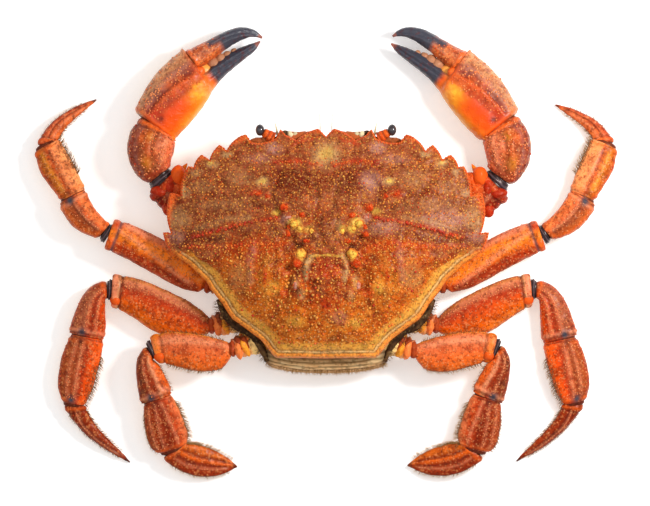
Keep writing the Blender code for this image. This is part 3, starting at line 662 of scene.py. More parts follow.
GRANULES = GrowthFinish(
    "Carapace granules, lime beads with a waxy top",
    ((0, "#b87038"), (0.3, "#e4a040"), (0.55, "#e4701e"), (0.85, "#c02c0a"), (1, "#741a0a")), foot="#641e06",
)
LIMB_GRANULES = GrowthFinish(
    "Limb granules, lime beads with a waxy top",
    ((0, "#e0905c"), (0.3, "#ea8a50"), (0.55, "#dc622c"), (0.85, "#b83010"), (1, "#6a1a0a")), foot="#6a2008",
)
# Their darker roots are the painted shade that the finish lays on each bristle's lowest part.
BRISTLES = GrowthFinish(
    "Bristles, horn tinted from dark root to pale tip", ((0, "#c79a5a"), (0.5, "#8a5a2c"), (1, "#2e2824")),
    foot="#4a2c18", roughness=0.55,
)
# On the membranes, the dark wash in the sunk folds is painted shade and the pale wash on the raised fold a
# painted highlight; the pale wash also lightens their undersides.
SOFT_SKIN = ShellFinish(
    "Joint skin, wet folded membrane", ((0, "#1c1416"), (0.5, "#2c2024"), (1, "#42363a")),
    (("pale", "#6a5c62"), ("dark", "#120c0e")),
    layers=(("#120c0c", 2, 0.5, 0.5, 0.66), ("#6a3a30", 1.6, 0.5, 0.54, 0.7)), dot_strength=0, roughness=0.36,
    coat=0.3, grain_depth=0.08,
)
GILL_SKIN = ShellFinish(
    "Gill edge, dark wet felt", ((0, "#2c1c12"), (0.5, "#5a3c24"), (1, "#8a6c40")),
    (("rust", "#b85a2c"), ("pale", "#e8d8ac"), ("dark", "#20140e")),
    layers=(("#160e0a", 1.4, 0.6, 0.5, 0.62), ("#a08850", 0.9, 0.5, 0.56, 0.68)), dot_strength=0,
    roughness=0.6, coat=0.05, grain_depth=0.3,
)
# Its stripe wash is painted shade in the tail's creases and under the shell's rear edge.
TAIL_SHELL = ShellFinish(
    "Tail chitin, ridged and stained", ((0, "#e0a468"), (0.5, "#f8c88c"), (1, "#ffe8b4")),
    (("rust", "#e09a58"), ("stripe", "#6a4e2c"), ("dark", "#4a3424")),
    layers=(("#5a4426", 1.8, 0.6, 0.5, 0.64), ("#f0d8a0", 1.1, 0.5, 0.56, 0.7)), dot_strength=0,
    roughness=0.5,
)
UNDERSIDE_SHELL = ShellFinish(
    "Underside chitin, thin and pale", ((0, "#c9a06a"), (0.5, "#e0b880"), (1, "#f0d2a0")),
    (("dark", "#6a4a34"), ("orange", "#d8803c")),
    layers=(("#a86a3a", 2.2, 0.35, 0.5, 0.66), ("#f8e8c8", 1.3, 0.35, 0.56, 0.7)), dot_strength=0,
    roughness=0.45,
)
EYE_HORN = ShellFinish(
    "Eye, polished dark cornea", ((0, "#0c090a"), (0.6, "#181214"), (1, "#30262a")),
    layers=(("#08080a", 2, 0.4, 0.5, 0.66),), dot_strength=0, roughness=0.16, specular=0.5, coat=0.6,
    sheen="#ffffff", grain_size=0.35, grain_depth=0.02,
)


# ---------------- carapace


@dataclass(frozen=True)
class Corner:
    """A corner of the carapace's margin, and how far the edge to the next corner stands out."""

    x: float
    y: float
    bulge: float = 0.0
    tooth: bool = False


@dataclass(frozen=True)
class Mound:
    """A raised or sunken round of the carapace, with the colour that it carries; a sunken one washed dark has
    painted shade in its pit.
    """

    x: float
    y: float
    across: float
    along: float
    height: float = 0.0
    wash: str = ""
    strength: float = 0.0
    sides: tuple[int, ...] = (1, -1)


@dataclass(frozen=True)
class Ridge:
    """A raised line or sunken furrow on the carapace through a few points, with its colour and its row of
    beads; a furrow washed dark has painted shade in it.
    """

    path: tuple[Pair, ...]
    width: float
    height: float
    wash: str = ""
    strength: float = 0.0
    bead_radius: float = 0.0
    bead_tint: float = 0.8
    sides: tuple[int, ...] = (1, -1)


@dataclass(frozen=True)
class ToneSpot:
    """A region of the carapace that pulls the colour scale to its own tone."""

    x: float
    y: float
    across: float
    along: float
    tone: float


@dataclass
class Carapace:
    """The domed upper shell, with its toothed margin, its regions, ridges, pits and granules."""

    top_height: float = 43.2
    front_edge_height: float = 29.0
    rear_edge_height: float = 24.5
    under_height: float = 21.0
    centre_y: float = -15.0
    dome_power: float = 2.3
    pitch: float = 0.5
    bead_pitch: float = 1.85
    edge_bead_pitch: float = 1.5
    sheet_corner: Pair = (-78, -52)
    sheet_size: Pair = (156, 120)
    bead_corner: Pair = (-77, -50)
    bead_sheet: Pair = (154, 108)
    far_from_edge: float = 12.0
    rear_fade: Pair = (3, -4)
    lumpy_middle: Mound = Mound(0, -4, 27, 26)
    under_rows: tuple[Pair, ...] = (
        (0.992, 0.08), (0.975, 0.25), (0.95, 0.45), (0.91, 0.62), (0.86, 0.76), (0.76, 0.9), (0.66, 1)
    )
    margin: tuple[Corner, ...] = (
        Corner(0, 53), Corner(3.7, 56.7, 0.3, True), Corner(11.3, 53.2), Corner(13.6, 51.2),
        Corner(18.7, 53.7), Corner(21.1, 56.4, 0, True), Corner(23, 52.3, -1.2), Corner(34.9, 50.4),
        Corner(37.1, 54, 0.3, True), Corner(42, 51.6, 0.3, True), Corner(46.1, 46.4),
        Corner(49.4, 49.2, 0.5, True), Corner(54, 42.2), Corner(57.7, 44.6, 0.5, True), Corner(61.4, 38.8),
        Corner(63.9, 39.2, 1, True), Corner(67.3, 25.7), Corner(72.2, 26.9, 1.6, True), Corner(71.8, 8.2),
        Corner(75.5, 8.6, 0.6, True), Corner(71.4, -0.8, 0.2), Corner(63.6, -6.2), Corner(55.6, -14, 0.3),
        Corner(47.8, -24.6, 0.2), Corner(43.2, -31.6), Corner(36.8, -36.2), Corner(31.2, -40.4, -0.2),
        Corner(27.4, -44.6), Corner(24.6, -48.2), Corner(23, -49.4), Corner(0, -49.8),
    )
    mounds: tuple[Mound, ...] = (
        Mound(12, 26, 9, 10, 2.6), Mound(0, 9, 8, 8, 2), Mound(0, -12, 9, 9, 2.1), Mound(0, -28, 12, 5, 1),
        Mound(38, -8, 17, 14, 2.2), Mound(46, 25, 12, 8, 1.4), Mound(17.5, -8, 3.2, 9, -1.9),
        Mound(20, 4, 5, 3.5, -1.4), Mound(28, 18.5, 12, 2.6, -1.3), Mound(45, 16, 16, 2.4, -0.8),
        Mound(0, -1.6, 10, 1.8, -1), Mound(0, 44, 2.6, 9, -0.9), Mound(26, 38, 9, 2.4, -0.7),
        Mound(0, 44.4, 6.5, 5.5, 0, "tan", 0.8), Mound(0, 45, 3, 3, 0, "yellow", 0.45),
        Mound(12, 2.2, 1.7, 1.3, -1.3, "dark", 1.4), Mound(10, -3.4, 1.2, 3.6, -0.6, "dark", 0.8),
        Mound(11.8, -2, 1.9, 2.3, -0.3, "yellow", 1), Mound(13.8, -5.8, 1.9, 1.8, 1.3, "red", 0.9),
        Mound(15, 13, 2.8, 2.3, 0.5, "yellow", 1), Mound(12.2, 10.2, 1.8, 1.6, 0.2, "yellow", 0.8),
        Mound(8.2, 10.6, 2.2, 1.7, 0.2, "yellow", 0.45), Mound(19, 15, 2.2, 2, 0.8, "mauve", 0.8),
        Mound(19.8, 20.2, 1.9, 1.8, 1.2, "red", 0.9), Mound(23.4, 18.2, 1.8, 1.6, 0.4, "yellow", 0.6),
        Mound(17.9, 8.1, 1.7, 1.5, 0.9, "red", 0.9), Mound(15.4, 6.2, 3.6, 1.4, -0.5, "dark", 0.6),
        Mound(22, 8.5, 6, 3.4, 0, "dark", 0.5), Mound(29.2, 32, 3, 2.2, -0.3, "tan", 0.9),
        Mound(29.4, 32.2, 1.7, 1.2, 0, "yellow", 0.7), Mound(32.6, 26.6, 2.8, 1.6, 0.6, "red", 0.75),
        Mound(27.4, 25.6, 1.4, 1.2, 0.5, "red", 0.7), Mound(20.4, 32.5, 5, 4.6, 0.2, "mauve", 0.8, (1,)),
        Mound(27.5, 11, 8, 3.6, 0, "mauve", 0.5, (1,)), Mound(55, 14, 11, 6, 0, "mauve", 0.5, (1,)),
        Mound(15, 33, 9, 5.5, -0.3, "dark", 0.5, (-1,)), Mound(9, 31, 6, 5, -0.3, "dark", 0.5, (1,)),
        Mound(0, 12, 4, 6.5, 0, "dark", 0.6), Mound(0, -6.5, 6, 3.6, 0, "dark", 0.35),
        Mound(0, -9, 6.5, 5.5, 0, "red", 0.3), Mound(6, 12.6, 2.6, 3, 0.3, "tan", 0.6, (1,)),
        Mound(68.5, 15, 5.5, 5.5, 0, "tan", 0.5), Mound(66, 27.5, 3.4, 2.2, 0, "tan", 0.7),
        Mound(70, 6.5, 4.5, 3, 0, "mauve", 0.5), Mound(66, 3.5, 5, 3, 0, "dark", 0.4),
        Mound(52, 5.6, 12, 2.4, 0, "dark", 0.6), Mound(38, 8.7, 9, 2.8, 0, "dark", 0.6),
        Mound(31, 42.5, 7, 2.2, 0, "mauve", 0.35), Mound(24, 47.5, 4, 3, 0.2, "mauve", 0.7),
        Mound(45.8, 45, 2.6, 1.5, 0, "tan", 0.9), Mound(53.2, 40.2, 3, 2, 0, "tan", 0.75),
        Mound(53.8, 41, 1.4, 0.9, 0, "yellow", 0.5), Mound(60.4, 36.4, 2.6, 1.8, 0, "tan", 0.6),
        Mound(57, 30, 6, 3, 0, "tan", 0.25), Mound(40, 34, 7, 4, 0, "tan", 0.3),
        Mound(48, 21, 14, 3, 0, "tan", 0.25), Mound(14, -14.6, 1.5, 3, 1, "welt", 0.4),
        Mound(11.4, -20.6, 1.7, 2.6, 1, "welt", 0.3), Mound(24.6, -17, 2.6, 3.4, 0, "yellow", 0.4),
        Mound(22.2, -20.5, 1.6, 2.2, -0.4, "dark", 0.5), Mound(19.5, -19, 2.4, 2.6, 0.3, "red", 0.6),
        Mound(14, -33, 4, 3, 0.3, "yellow", 0.4), Mound(28.4, -11.5, 1.2, 4, 0.3, "red", 0.7),
        Mound(40, -12, 5, 7, 0, "tan", 0.35), Mound(6, -31, 4, 3, 0, "mauve", 0.4, (1,)),
        Mound(0, -26, 3, 3, 0.3, "red", 0.5),
    )
    eggs: tuple[tuple[float, float, float, float, str], ...] = (
        (19.8, 20, 2, 1.8, "red"), (18, 7.6, 1.5, 1.3, "red"), (13.8, -5.8, 2, 2, "red"),
        (11.8, -1.4, 2.5, 2.8, "yellow"), (15, 12.6, 2.2, 1.9, "yellow"), (12.4, 10.4, 1.3, 1.2, "yellow"),
        (18, 15.6, 1.5, 1.2, "mauve"), (17.6, 11.2, 1.1, 1.2, "red"), (32.2, 26.4, 1.8, 0.9, "red"),
        (27.6, 25.4, 0.9, 0.8, "red"), (9.6, 4.6, 1.7, 1.1, "red"), (11.6, 16.6, 1.8, 1.4, "red"),
        (7, 9.2, 1.2, 1.5, "yellow"), (14.6, -16, 1.2, 2.2, "mauve"),
    )
    ridges: tuple[Ridge, ...] = (
        Ridge(((22.5, 15.8), (38.2, 12.8), (50.2, 10), (62.3, 5.8)), 1.2, 1, "red", 0.4, 0.6, 0.85),
        Ridge(((20, 2.4), (32, 3.4), (46, 2), (66, 1.6)), 1.4, 0.5, "red", 0.3, 0.45, 0.6),
        Ridge(((2.8, 39.8), (12, 41.6), (23.6, 41.2)), 1.1, 0.6, "red", 0.45, 0.45, 0.75),
        Ridge(((33.6, 3), (35, -6), (35.5, -15)), 1.6, 0.6, "mauve", 0.3),
        Ridge(((0, -2.5), (7.6, -2.4)), 0.45, 0.7, "yellow", 0.7),
        Ridge(((7.6, -2.6), (9.6, -7.4), (9.2, -12.6)), 1, 0.6, "welt", 0.6),
        Ridge(((9.8, -0.6), (9.4, -3), (11.6, -7.4)), 0.4, -0.6, "dark", 0.8),
        Ridge(((6, 52), (11.3, 51.2), (15, 49.6)), 0.9, 0.3, "red", 0.5),
        Ridge(((21, 36), (25, 27), (22.4, 17)), 1.7, -0.9, "dark", 0.45),
        Ridge(((22.4, 17), (16.6, 6.6), (13.4, 1)), 1.4, -0.9, "dark", 0.55),
        Ridge(((13.6, -9), (17, -15), (19, -24), (25, -31)), 1.8, -0.8, "dark", 0.45),
        Ridge(((6.5, 34), (3.4, 24), (5.4, 16), (3, 8)), 1.2, -0.6, "dark", 0.4),
        Ridge(((48, 32), (40, 22), (30, 20.5)), 1.6, -0.6, "dark", 0.4),
        Ridge(((60, 10.5), (48, 14), (36, 15.4)), 1.6, 0.4, "tan", 0.35),
        Ridge(((27, -4), (30, -14), (27, -22)), 2.2, 0.5, "yellow", 0.12),
    )
    tone_spots: tuple[ToneSpot, ...] = (
        ToneSpot(0, 44, 14, 8, 0.27), ToneSpot(14, 33, 12, 7, 0), ToneSpot(45, 34, 18, 12, 0.18),
        ToneSpot(58, 18, 14, 10, 0.1), ToneSpot(30, 20, 12, 8, 0.16), ToneSpot(0, 20, 12, 10, 0.35),
        ToneSpot(0, -8, 12, 14, 0.38), ToneSpot(0, 5, 8, 5, 0.2), ToneSpot(35, 0, 14, 7, 0.5),
        ToneSpot(60, 3, 9, 5, 0.05), ToneSpot(45, -12, 16, 10, 0.7), ToneSpot(25, -25, 14, 12, 0.7),
        ToneSpot(0, -36, 22, 8, 0.74),
    )

    def __post_init__(self) -> None:
        """Lays out the margin before anything is built on it."""
        self.outline, self.travel = self._outline()
        self.base_angles, self.base_radii = self._rays(
            np.array([(c.x, c.y) for c in self.margin if not c.tooth], float)
        )
        self.edge_angles, self.edge_radii = self._rays(self.outline[self.outline[:, 0] >= 0])

    def _outline(self) -> tuple[Array, Array]:
        """The whole margin with its beaded teeth.

        Returns:
            The margin's points, clockwise from the middle of the front, and how far round each is.
        """
        half = []
        for corner, after in zip(self.margin, self.margin[1:]):
            start, end = np.array((corner.x, corner.y)), np.array((after.x, after.y))
            chord = end - start
            length = float(np.linalg.norm(chord))
            out = np.array((-chord[1], chord[0])) / length
            steps = max(2, round(length / self.pitch))
            for t in np.arange(steps) / steps:
                beaded = abs(math.sin(math.pi * length * t / self.edge_bead_pitch)) * 0.24
                beaded *= 4 * t * (1 - t) if start[1] > 0 else 0
                half.append(start + chord * t + out * (corner.bulge * 4 * t * (1 - t) + beaded))
        half.append(np.array((self.margin[-1].x, self.margin[-1].y)))
        right = np.array(half)
        left = right[-2:0:-1] * (-1, 1)
        whole = np.concatenate([right, left])
        steps = np.linalg.norm(np.diff(whole, axis=0, append=whole[:1]), axis=1)
        return whole, np.cumsum(steps) - steps[0]

    def _rays(self, points: Array) -> tuple[Array, Array]:
        """Directions and distances of points from the carapace's middle.

        Args:
            points: Places at or beyond x = 0.

        Returns:
            Rising angles and the distances at them.
        """
        away = points - (0.0, self.centre_y)
        angles = np.arctan2(away[:, 1], np.abs(away[:, 0]))
        order = np.argsort(angles)
        return angles[order], np.linalg.norm(away, axis=1)[order]

    def _polar(self, places: Array) -> tuple[Array, Array, Array]:
        """How far out places lie.

        Args:
            places: x and y, one a row.

        Returns:
            Distances from the middle, and the toothless and the toothed margin's distance there.
        """
        away = places[:, :2] - (0.0, self.centre_y)
        angles = np.arctan2(away[:, 1], np.abs(away[:, 0]))
        base = np.interp(angles, self.base_angles, self.base_radii)
        edge = np.interp(angles, self.edge_angles, self.edge_radii)
        return np.linalg.norm(away, axis=1), base, edge

    def edge_height(self, y: Array) -> Array:
        """The height of the margin, which falls from the front to the rear."""
        front, rear = self.margin[1].y, self.margin[-1].y
        share = (y - rear) / (front - rear)
        return self.rear_edge_height + (self.front_edge_height - self.rear_edge_height) * share

    def _edge_distance(self, places: Array) -> Array:
        """How far each place is from the margin.

        Args:
            places: x and y, one a row.

        Returns:
            Distances, cut off where the margin no longer matters.
        """
        distance = np.full(len(places), self.far_from_edge)
        reach, _, edge = self._polar(places)
        near = np.nonzero(edge - reach < self.far_from_edge)[0]
        for part in np.array_split(near, max(1, len(near) // 4000)):
            gaps = places[part, None, :2] - self.outline[None]
            distance[part] = np.minimum(self.far_from_edge, np.sqrt((gaps**2).sum(2).min(1)))
        return distance

    @staticmethod
    def _mound_share(mound: Mound | ToneSpot, side: int, places: Array, crisp: float = 1.0) -> Array:
        """How much a mound on one side weighs at each place, with a sharper rim where crisp is above 1."""
        gap = ((places[:, 0] - side * mound.x) / mound.across) ** 2
        return np.exp(-((gap + ((places[:, 1] - mound.y) / mound.along) ** 2) ** crisp))

    @staticmethod
    def _ridge_share(ridge: Ridge, side: int, places: Array) -> Array:
        """How much a ridge on one side weighs at each place.

        Args:
            ridge: The ridge.
            side: +1 or -1.
            places: x and y, one a row.

        Returns:
            Weights from 0 to 1.
        """
        path = np.array(ridge.path) * (side, 1)
        nearest = np.full(len(places), 1e9)
        for start, end in zip(path, path[1:]):
            chord = end - start
            share = np.clip(((places[:, :2] - start) @ chord) / (chord @ chord), 0, 1)
            nearest = np.minimum(nearest, ((places[:, :2] - start - share[:, None] * chord) ** 2).sum(1))
        return np.exp(-nearest / ridge.width**2)

    def surface_height(self, places: Array, distance: Array) -> Array:
        """The height of the upper side.

        Args:
            places: x and y, one a row.
            distance: How far each is from the margin.

        Returns:
            Heights.
        """
        flat = np.column_stack([places[:, :2], np.zeros(len(places))])
        reach, base, _ = self._polar(places)
        share = np.minimum(reach / base, 1.0)
        dome = 1 - share**self.dome_power
        edge = self.edge_height(places[:, 1])
        height = edge + (self.top_height - edge) * dome - np.maximum(reach - base, 0) * 0.3
        soft = np.sqrt(dome)
        for mound in self.mounds:
            for side in mound.sides if mound.x else (1,):
                height += mound.height * soft * self._mound_share(mound, side, places)
        for ridge in self.ridges:
            for side in ridge.sides:
                height += ridge.height * self._ridge_share(ridge, side, places)
        inner = fade(distance, 0.3, 4.0)
        central = self._central_share(places)
        height += (0.4 + 0.75 * central) * inner * RELIEF_NOISE.at(flat, 5.0, 2)
        height += 0.2 * inner * RELIEF_NOISE.at(flat + 50, 1.8, 2)
        return height + self._rim_height(places, distance)

    def _central_share(self, places: Array) -> Array:
        """How far a place belongs to the shell's lumpy middle."""
        return self._mound_share(self.lumpy_middle, 1, places, 2.0)

    def _rear_share(self, places: Array) -> Array:
        """How far a place belongs to the smooth rear rim and not to the teeth."""
        return fade(places[:, 1], *self.rear_fade)

    def _rim_height(self, places: Array, distance: Array) -> Array:
        """The raised welt and groove of the rear rim, and the swollen edge of the teeth.

        Args:
            places: x and y, one a row.
            distance: How far each is from the margin.

        Returns:
            Height to add.
        """
        rear = self._rear_share(places)
        welt = 0.8 * bell(distance, 1.1, 0.9) - 0.5 * bell(distance, 2.25, 0.3)
        welt -= 0.5 * bell(distance, 3.6, 0.3) + 0.3 * fade(distance, 0.5, 0.0)
        roll = 0.35 * bell(distance, 0.9, 0.6) - 0.5 * bell(distance, 0.0, 0.4)
        return rear * welt + (1 - rear) * roll

    def _paint(self, places: Array, distance: Array) -> dict[str, Array]:
        """The masks of the upper side.

        Args:
            places: x and y, one a row.
            distance: How far each is from the margin.

        Returns:
            Masks by name.
        """
        flat = np.column_stack([places[:, :2], np.zeros(len(places))])
        drift = np.column_stack([COLOUR_NOISE.at(flat + shift, 9.0, 3) for shift in (0, 40)])
        moved = places[:, :2] + 3.0 * drift
        weights = np.full(len(places), 1e-4)
        tone = weights * 0.5
        for spot in self.tone_spots:
            for side in (1, -1) if spot.x else (1,):
                share = self._mound_share(spot, side, moved)
                weights += share
                tone += share * spot.tone
        tone = tone / weights + 0.12 * COLOUR_NOISE.at(flat + 90, 6.0, 3)
        tone += 0.08 * COLOUR_NOISE.at(flat, 2.2, 2)
        rear = self._rear_share(places)
        tone = tone + (1.0 - tone) * rear * fade(distance, 9.0, 4.5) * 0.8
        masks = {name: np.zeros(len(places)) for name, _ in SHELL_WASHES}
        fine = np.column_stack([COLOUR_NOISE.at(flat + shift, 2.6, 2) for shift in (160, 190)])
        near = places[:, :2] + 0.8 * drift + 0.5 * fine
        patchy = 0.85 + 0.4 * COLOUR_NOISE.at(flat + 130, 2.4, 2)
        # Mounds and ridges sunk into the shell and washed dark paint shade into their pits and furrows.
        for mound in self.mounds:
            for side in mound.sides if mound.x else (1,):
                if mound.wash:
                    share = self._mound_share(mound, side, near, 1.6) * mound.strength * patchy
                    masks[mound.wash] = np.maximum(masks[mound.wash], share)
        for ridge in self.ridges:
            for side in ridge.sides:
                if ridge.wash:
                    share = self._ridge_share(ridge, side, near) * ridge.strength * patchy
                    masks[ridge.wash] = np.maximum(masks[ridge.wash], share)
        blotch = 0.66 * self._central_share(places) * fade(COLOUR_NOISE.at(flat + 210, 4.4, 3), 0.0, 0.6)
        masks["dark"] = np.maximum(masks["dark"], blotch)
        reach, base, _ = self._polar(places)
        tip = 0.75 * fade(reach - base, 0.3, 3.0) * patchy
        masks["edge"] = (1 - rear) * np.maximum(0.85 * fade(distance, 0.95, 0.25), tip)
        stray = distance + 0.2 * fine[:, 0]
        # The two grooves of the rear rim, sunk by the rim's relief, are washed dark olive as painted shade.
        lines = (("band", 1.05, 1.05), ("welt", 2.95, 0.5), ("groove", 2.25, 0.24), ("groove", 3.6, 0.24))
        for name, middle, width in lines + (("yellow", 5.4, 1.8),):
            line = np.exp(-(((stray - middle) / width) ** 4)) * (0.3 if name == "yellow" else 0.75) * patchy
            masks[name] = np.maximum(masks[name], rear * line)
        streak = rear * fade(distance, 2.0, 1.6) * fade(fine[:, 1], -0.1, 0.7)
        masks["red"] = np.maximum(masks["red"], 0.75 * np.maximum(rear * fade(distance, 0.6, 0.2), streak))
        return {"tone": tone, **{name: np.clip(mask, 0, 1) for name, mask in masks.items()}}

    def shell(self) -> Surface:
        """The upper side on a fine grid, and the turned-in lower side.

        Returns:
            The whole shell.
        """
        left, low = self.sheet_corner
        width, depth = self.sheet_size
        rows = int(depth / (self.pitch * ROW_SHARE))
        columns = int(width / self.pitch)
        row, column = np.mgrid[0:rows, 0:columns]
        x = left + (column + 0.5 * (row % 2)) * self.pitch
        y = low + row * self.pitch * ROW_SHARE
        inside = np.column_stack([x.ravel(), y.ravel()])
        reach, _, edge = self._polar(inside)
        inside = inside[reach < edge]
        distance = self._edge_distance(inside)
        inside = inside[distance > 0.6 * self.pitch]
        count = len(self.outline)
        flat = [Vector(place) for place in np.concatenate([self.outline, inside]).tolist()]
        loop = [(index, (index + 1) % count) for index in range(count)]
        found = delaunay_2d_cdt(flat, loop, [], 1, 1e-5, False)
        places = np.array([tuple(place) for place in found[0]])
        faces = np.array(found[2])
        reach, _, edge = self._polar(places[faces].mean(1))
        faces = faces[reach < edge]
        distance = self._edge_distance(places)
        height = self.surface_height(places, distance)
        edge_height = self.surface_height(self.outline, np.zeros(count))
        top = Surface(np.column_stack([places, height]), faces, self._paint(places, distance))
        corners = top.points[faces[0]]
        if np.cross(corners[1] - corners[0], corners[2] - corners[0])[2] < 0:
            top.faces = faces[:, ::-1]
        return Surface.joined([top, self._under_side(edge_height)])

    def _under_side(self, edge: Array) -> Surface:
        """The lower side, which turns in from the margin to a flat floor.

        Args:
            edge: The height of the upper side at each margin point.

        Returns:
            The lower side.
        """
        count = len(self.outline)
        middle = np.array((0.0, self.centre_y))
        rings = [np.column_stack([self.outline, edge])]
        for share, drop in self.under_rows:
            flat = middle + (self.outline - middle) * share
            rings.append(np.column_stack([flat, edge + (self.under_height - edge) * drop]))
        points = np.concatenate(rings + [np.array([[0.0, self.centre_y, self.under_height]])])
        faces = grid_faces(len(rings), count)
        last = (len(rings) - 1) * count
        cap = [[last + i, last + (i + 1) % count, len(points) - 1] for i in range(count)]
        pale = np.ones(len(points))
        pale[:count] = 0.0
        pale[count : 2 * count] = 0.4
        edges = 1 - pale
        masks = {"pale": pale, "tone": np.full(len(points), 0.7), "edge": edges * (points[:, 1] > 0)}
        return Surface(points, np.concatenate([faces, np.array(cap)]), masks)

    def granules(self, rng: np.random.Generator) -> Surface:
        """The beads that stand all over the upper side, thickest and reddest along the ridges.

        Args:
            rng: The draw that scatters them.

        Returns:
            All beads.
        """
        step = self.bead_pitch
        left, low = self.bead_corner
        width, depth = self.bead_sheet
        row, column = np.mgrid[0 : int(depth / step), 0 : int(width / step)]
        places = np.column_stack([left + (column + 0.5 * (row % 2)).ravel() * step, low + row.ravel() * step])
        places = places + rng.uniform(-0.45, 0.45, places.shape) * step
        reach, _, edge = self._polar(places)
        places = places[reach < edge - 0.8]
        distance = self._edge_distance(places)
        keep = distance > np.where(self._rear_share(places) > 0.5, 5.2, 0.9)
        places, distance = places[keep], distance[keep]
        flat = np.column_stack([places, np.zeros(len(places))])
        patch = COLOUR_NOISE.at(flat + 200, 7.0, 2)
        behind = fade(places[:, 1], 6.0, -14.0)
        radii = rng.uniform(0.32, 0.64, len(places)) ** 2 * 1.15 * (1 + 0.35 * patch + 0.6 * behind)
        tints = np.clip(rng.normal(0.32, 0.24, len(places)) + 0.1 * patch, 0.0, 0.8)
        masks = self._paint(places, distance)
        red = masks["red"] > rng.uniform(0.1, 0.6, len(places))
        tints = np.where(red | (rng.random(len(places)) < 0.04), rng.uniform(0.75, 0.95, len(places)), tints)
        radii = np.where(red, radii * 1.25, radii)
        rows, row_radii, row_tints = self._bead_rows(rng)
        places = np.concatenate([places, rows])
        radii = np.concatenate([radii, row_radii])
        tints = np.concatenate([tints, row_tints])
        return beads(*self._on_shell(places), radii, tints)

    def _bead_rows(self, rng: np.random.Generator) -> tuple[Array, Array, Array]:
        """The beads along the ridges and the margin.

        Args:
            rng: The draw that makes them uneven.

        Returns:
            Places, radii and tints.
        """
        places, radii, tints = [], [], []
        for ridge, side in ((r, s) for r in self.ridges for s in r.sides if r.bead_radius):
            for start, end in zip(ridge.path, ridge.path[1:]):
                start, end = np.array(start) * (side, 1), np.array(end) * (side, 1)
                for t in np.arange(0, 1, 1.5 / np.linalg.norm(end - start)):
                    places.append(start + (end - start) * t + rng.normal(0, 0.4, 2))
                    radii.append(ridge.bead_radius * rng.uniform(0.9, 1.4))
                    tints.append(np.clip(ridge.bead_tint + rng.normal(0, 0.1), 0, 1))
        middle = np.array((0.0, self.centre_y))
        steps = np.nonzero(np.diff(np.floor(self.travel / self.edge_bead_pitch)) > 0)[0]
        for index in steps:
            place = self.outline[index]
            if place[1] > 0.5:
                places.append(place + (middle - place) / np.linalg.norm(middle - place) * 0.75)
                radii.append(rng.uniform(0.4, 0.55))
                tints.append(rng.uniform(0.62, 0.8))
        return np.array(places), np.array(radii), np.array(tints)

    def bumps(self) -> Surface:
        """The larger waxy bumps of the shell's middle, sunk into it by more than half.

        Returns:
            All of them.
        """
        found = []
        for (x, y, across, along, wash), side in itertools.product(self.eggs, Side):
            place = np.array([[x * side.value + 0.4, y]])
            middle, _ = self._on_shell(place)
            middle[0, 2] -= 0.3 * across
            bump = ball(middle[0], (across, along, 0.9 * across), 0.26, tone=0.6)
            patch = COLOUR_NOISE.at(bump.points, 1.5, 2)
            height = (bump.points[:, 2] - middle[0, 2]) / (0.9 * across)
            # The wash keeps to each bump's top; lower down it turns orange in patches and dark at its base,
            # as painted shade on its lower side and where it meets the shell.
            bump.masks[wash] = np.clip(0.85 * fade(height, 0.25, 0.6) + 0.4 * patch, 0, 0.95)
            bump.masks["edge"] = np.clip(0.55 - 0.7 * patch, 0, 0.6) * fade(height, 0.95, 0.5)
            bump.masks["dark"] = 0.7 * fade(height, 0.45, 0.1)
            found.append(bump)
        return Surface.joined(found)

    def _on_shell(self, places: Array) -> tuple[Array, Array]:
        """Lifts places onto the upper side.

        Args:
            places: x and y, one a row.

        Returns:
            The points on the shell and the shell's directions there.
        """
        step = 0.4
        heights = []
        for shift in ((0, 0), (step, 0), (0, step)):
            moved = places + shift
            heights.append(self.surface_height(moved, self._edge_distance(moved)))
        run = np.full(len(places), step)
        slope = np.column_stack([heights[0] - heights[1], heights[0] - heights[2], run])
        return np.column_stack([places, heights[0]]), unit(slope)

    def build(self) -> None:
        """Makes the shell and its granules."""
        whole = Surface.joined([self.shell(), self.bumps()])
        whole.build("carapace_crust", CARAPACE_SHELL.material(), Slot.CARAPACE, "carapace")
        rng = np.random.default_rng(5)
        self.granules(rng).build("carapace_granules", GRANULES.material(), Slot.CARAPACE)


# ---------------- limbs


@dataclass(frozen=True)
class Reach:
    """A segment's length, heading and how much higher its far end lies."""

    length: float
    heading: float
    rise: float


@dataclass(frozen=True)
class Stripe:
    """A lengthwise ridge, groove or band of colour on a segment's upper side."""

    across: Pair
    width: float
    height: float = 0.0
    wash: str = ""
    strength: float = 1.0
    reach: Pair = (0, 1)
    wander: float = 0.25
    all_round: bool = False


@dataclass(frozen=True)
class Ring:
    """A collar or a groove round a segment."""

    at: float
    width: float
    height: float = 0.0
    wash: str = ""
    strength: float = 1.0
    slant: float = 0.0


@dataclass(frozen=True)
class Spot:
    """A round lump, pit or patch of colour on a segment's upper side."""

    at: float
    across: float
    radius: float
    height: float = 0.0
    wash: str = ""
    strength: float = 1.0


@dataclass(frozen=True)
class BeadRow:
    """A row of beads along a segment."""

    across: Pair
    radius: float
    tint: float = 0.4
    reach: Pair = (0.03, 0.97)
    pitch: float = 1.5
    stray: float = 0.3


@dataclass(frozen=True)
class BeadField:
    """Beads scattered over part of a segment's upper side."""

    across: Pair
    reach: Pair
    radius: float
    tint: float = 0.35
    pitch: float = 2.0


@dataclass(frozen=True)
class Fringe:
    """Bristles along an edge of a segment."""

    across: float
    reach: Pair
    length: float
    pitch: float = 0.5
    lean: float = 0.5
    tint: float = 0.3
    tuft: int = 2


@dataclass(frozen=True)
class Plan:
    """A segment's sections, the turns of its middle line, and what it carries.

    Each section is its share of the length and its inner, outer, upper and lower half sizes.
    """

    sections: tuple[tuple[float, float, float, float, float], ...]
    finish: ShellFinish
    turn_in: float = 0.0
    turn_out: float = 0.0
    marks: tuple[Stripe | Ring | Spot, ...] = ()
    rows: tuple[BeadRow | BeadField, ...] = ()
    fringes: tuple[Fringe, ...] = ()
    pointed: bool = False
    lumpiness: float = 0.16


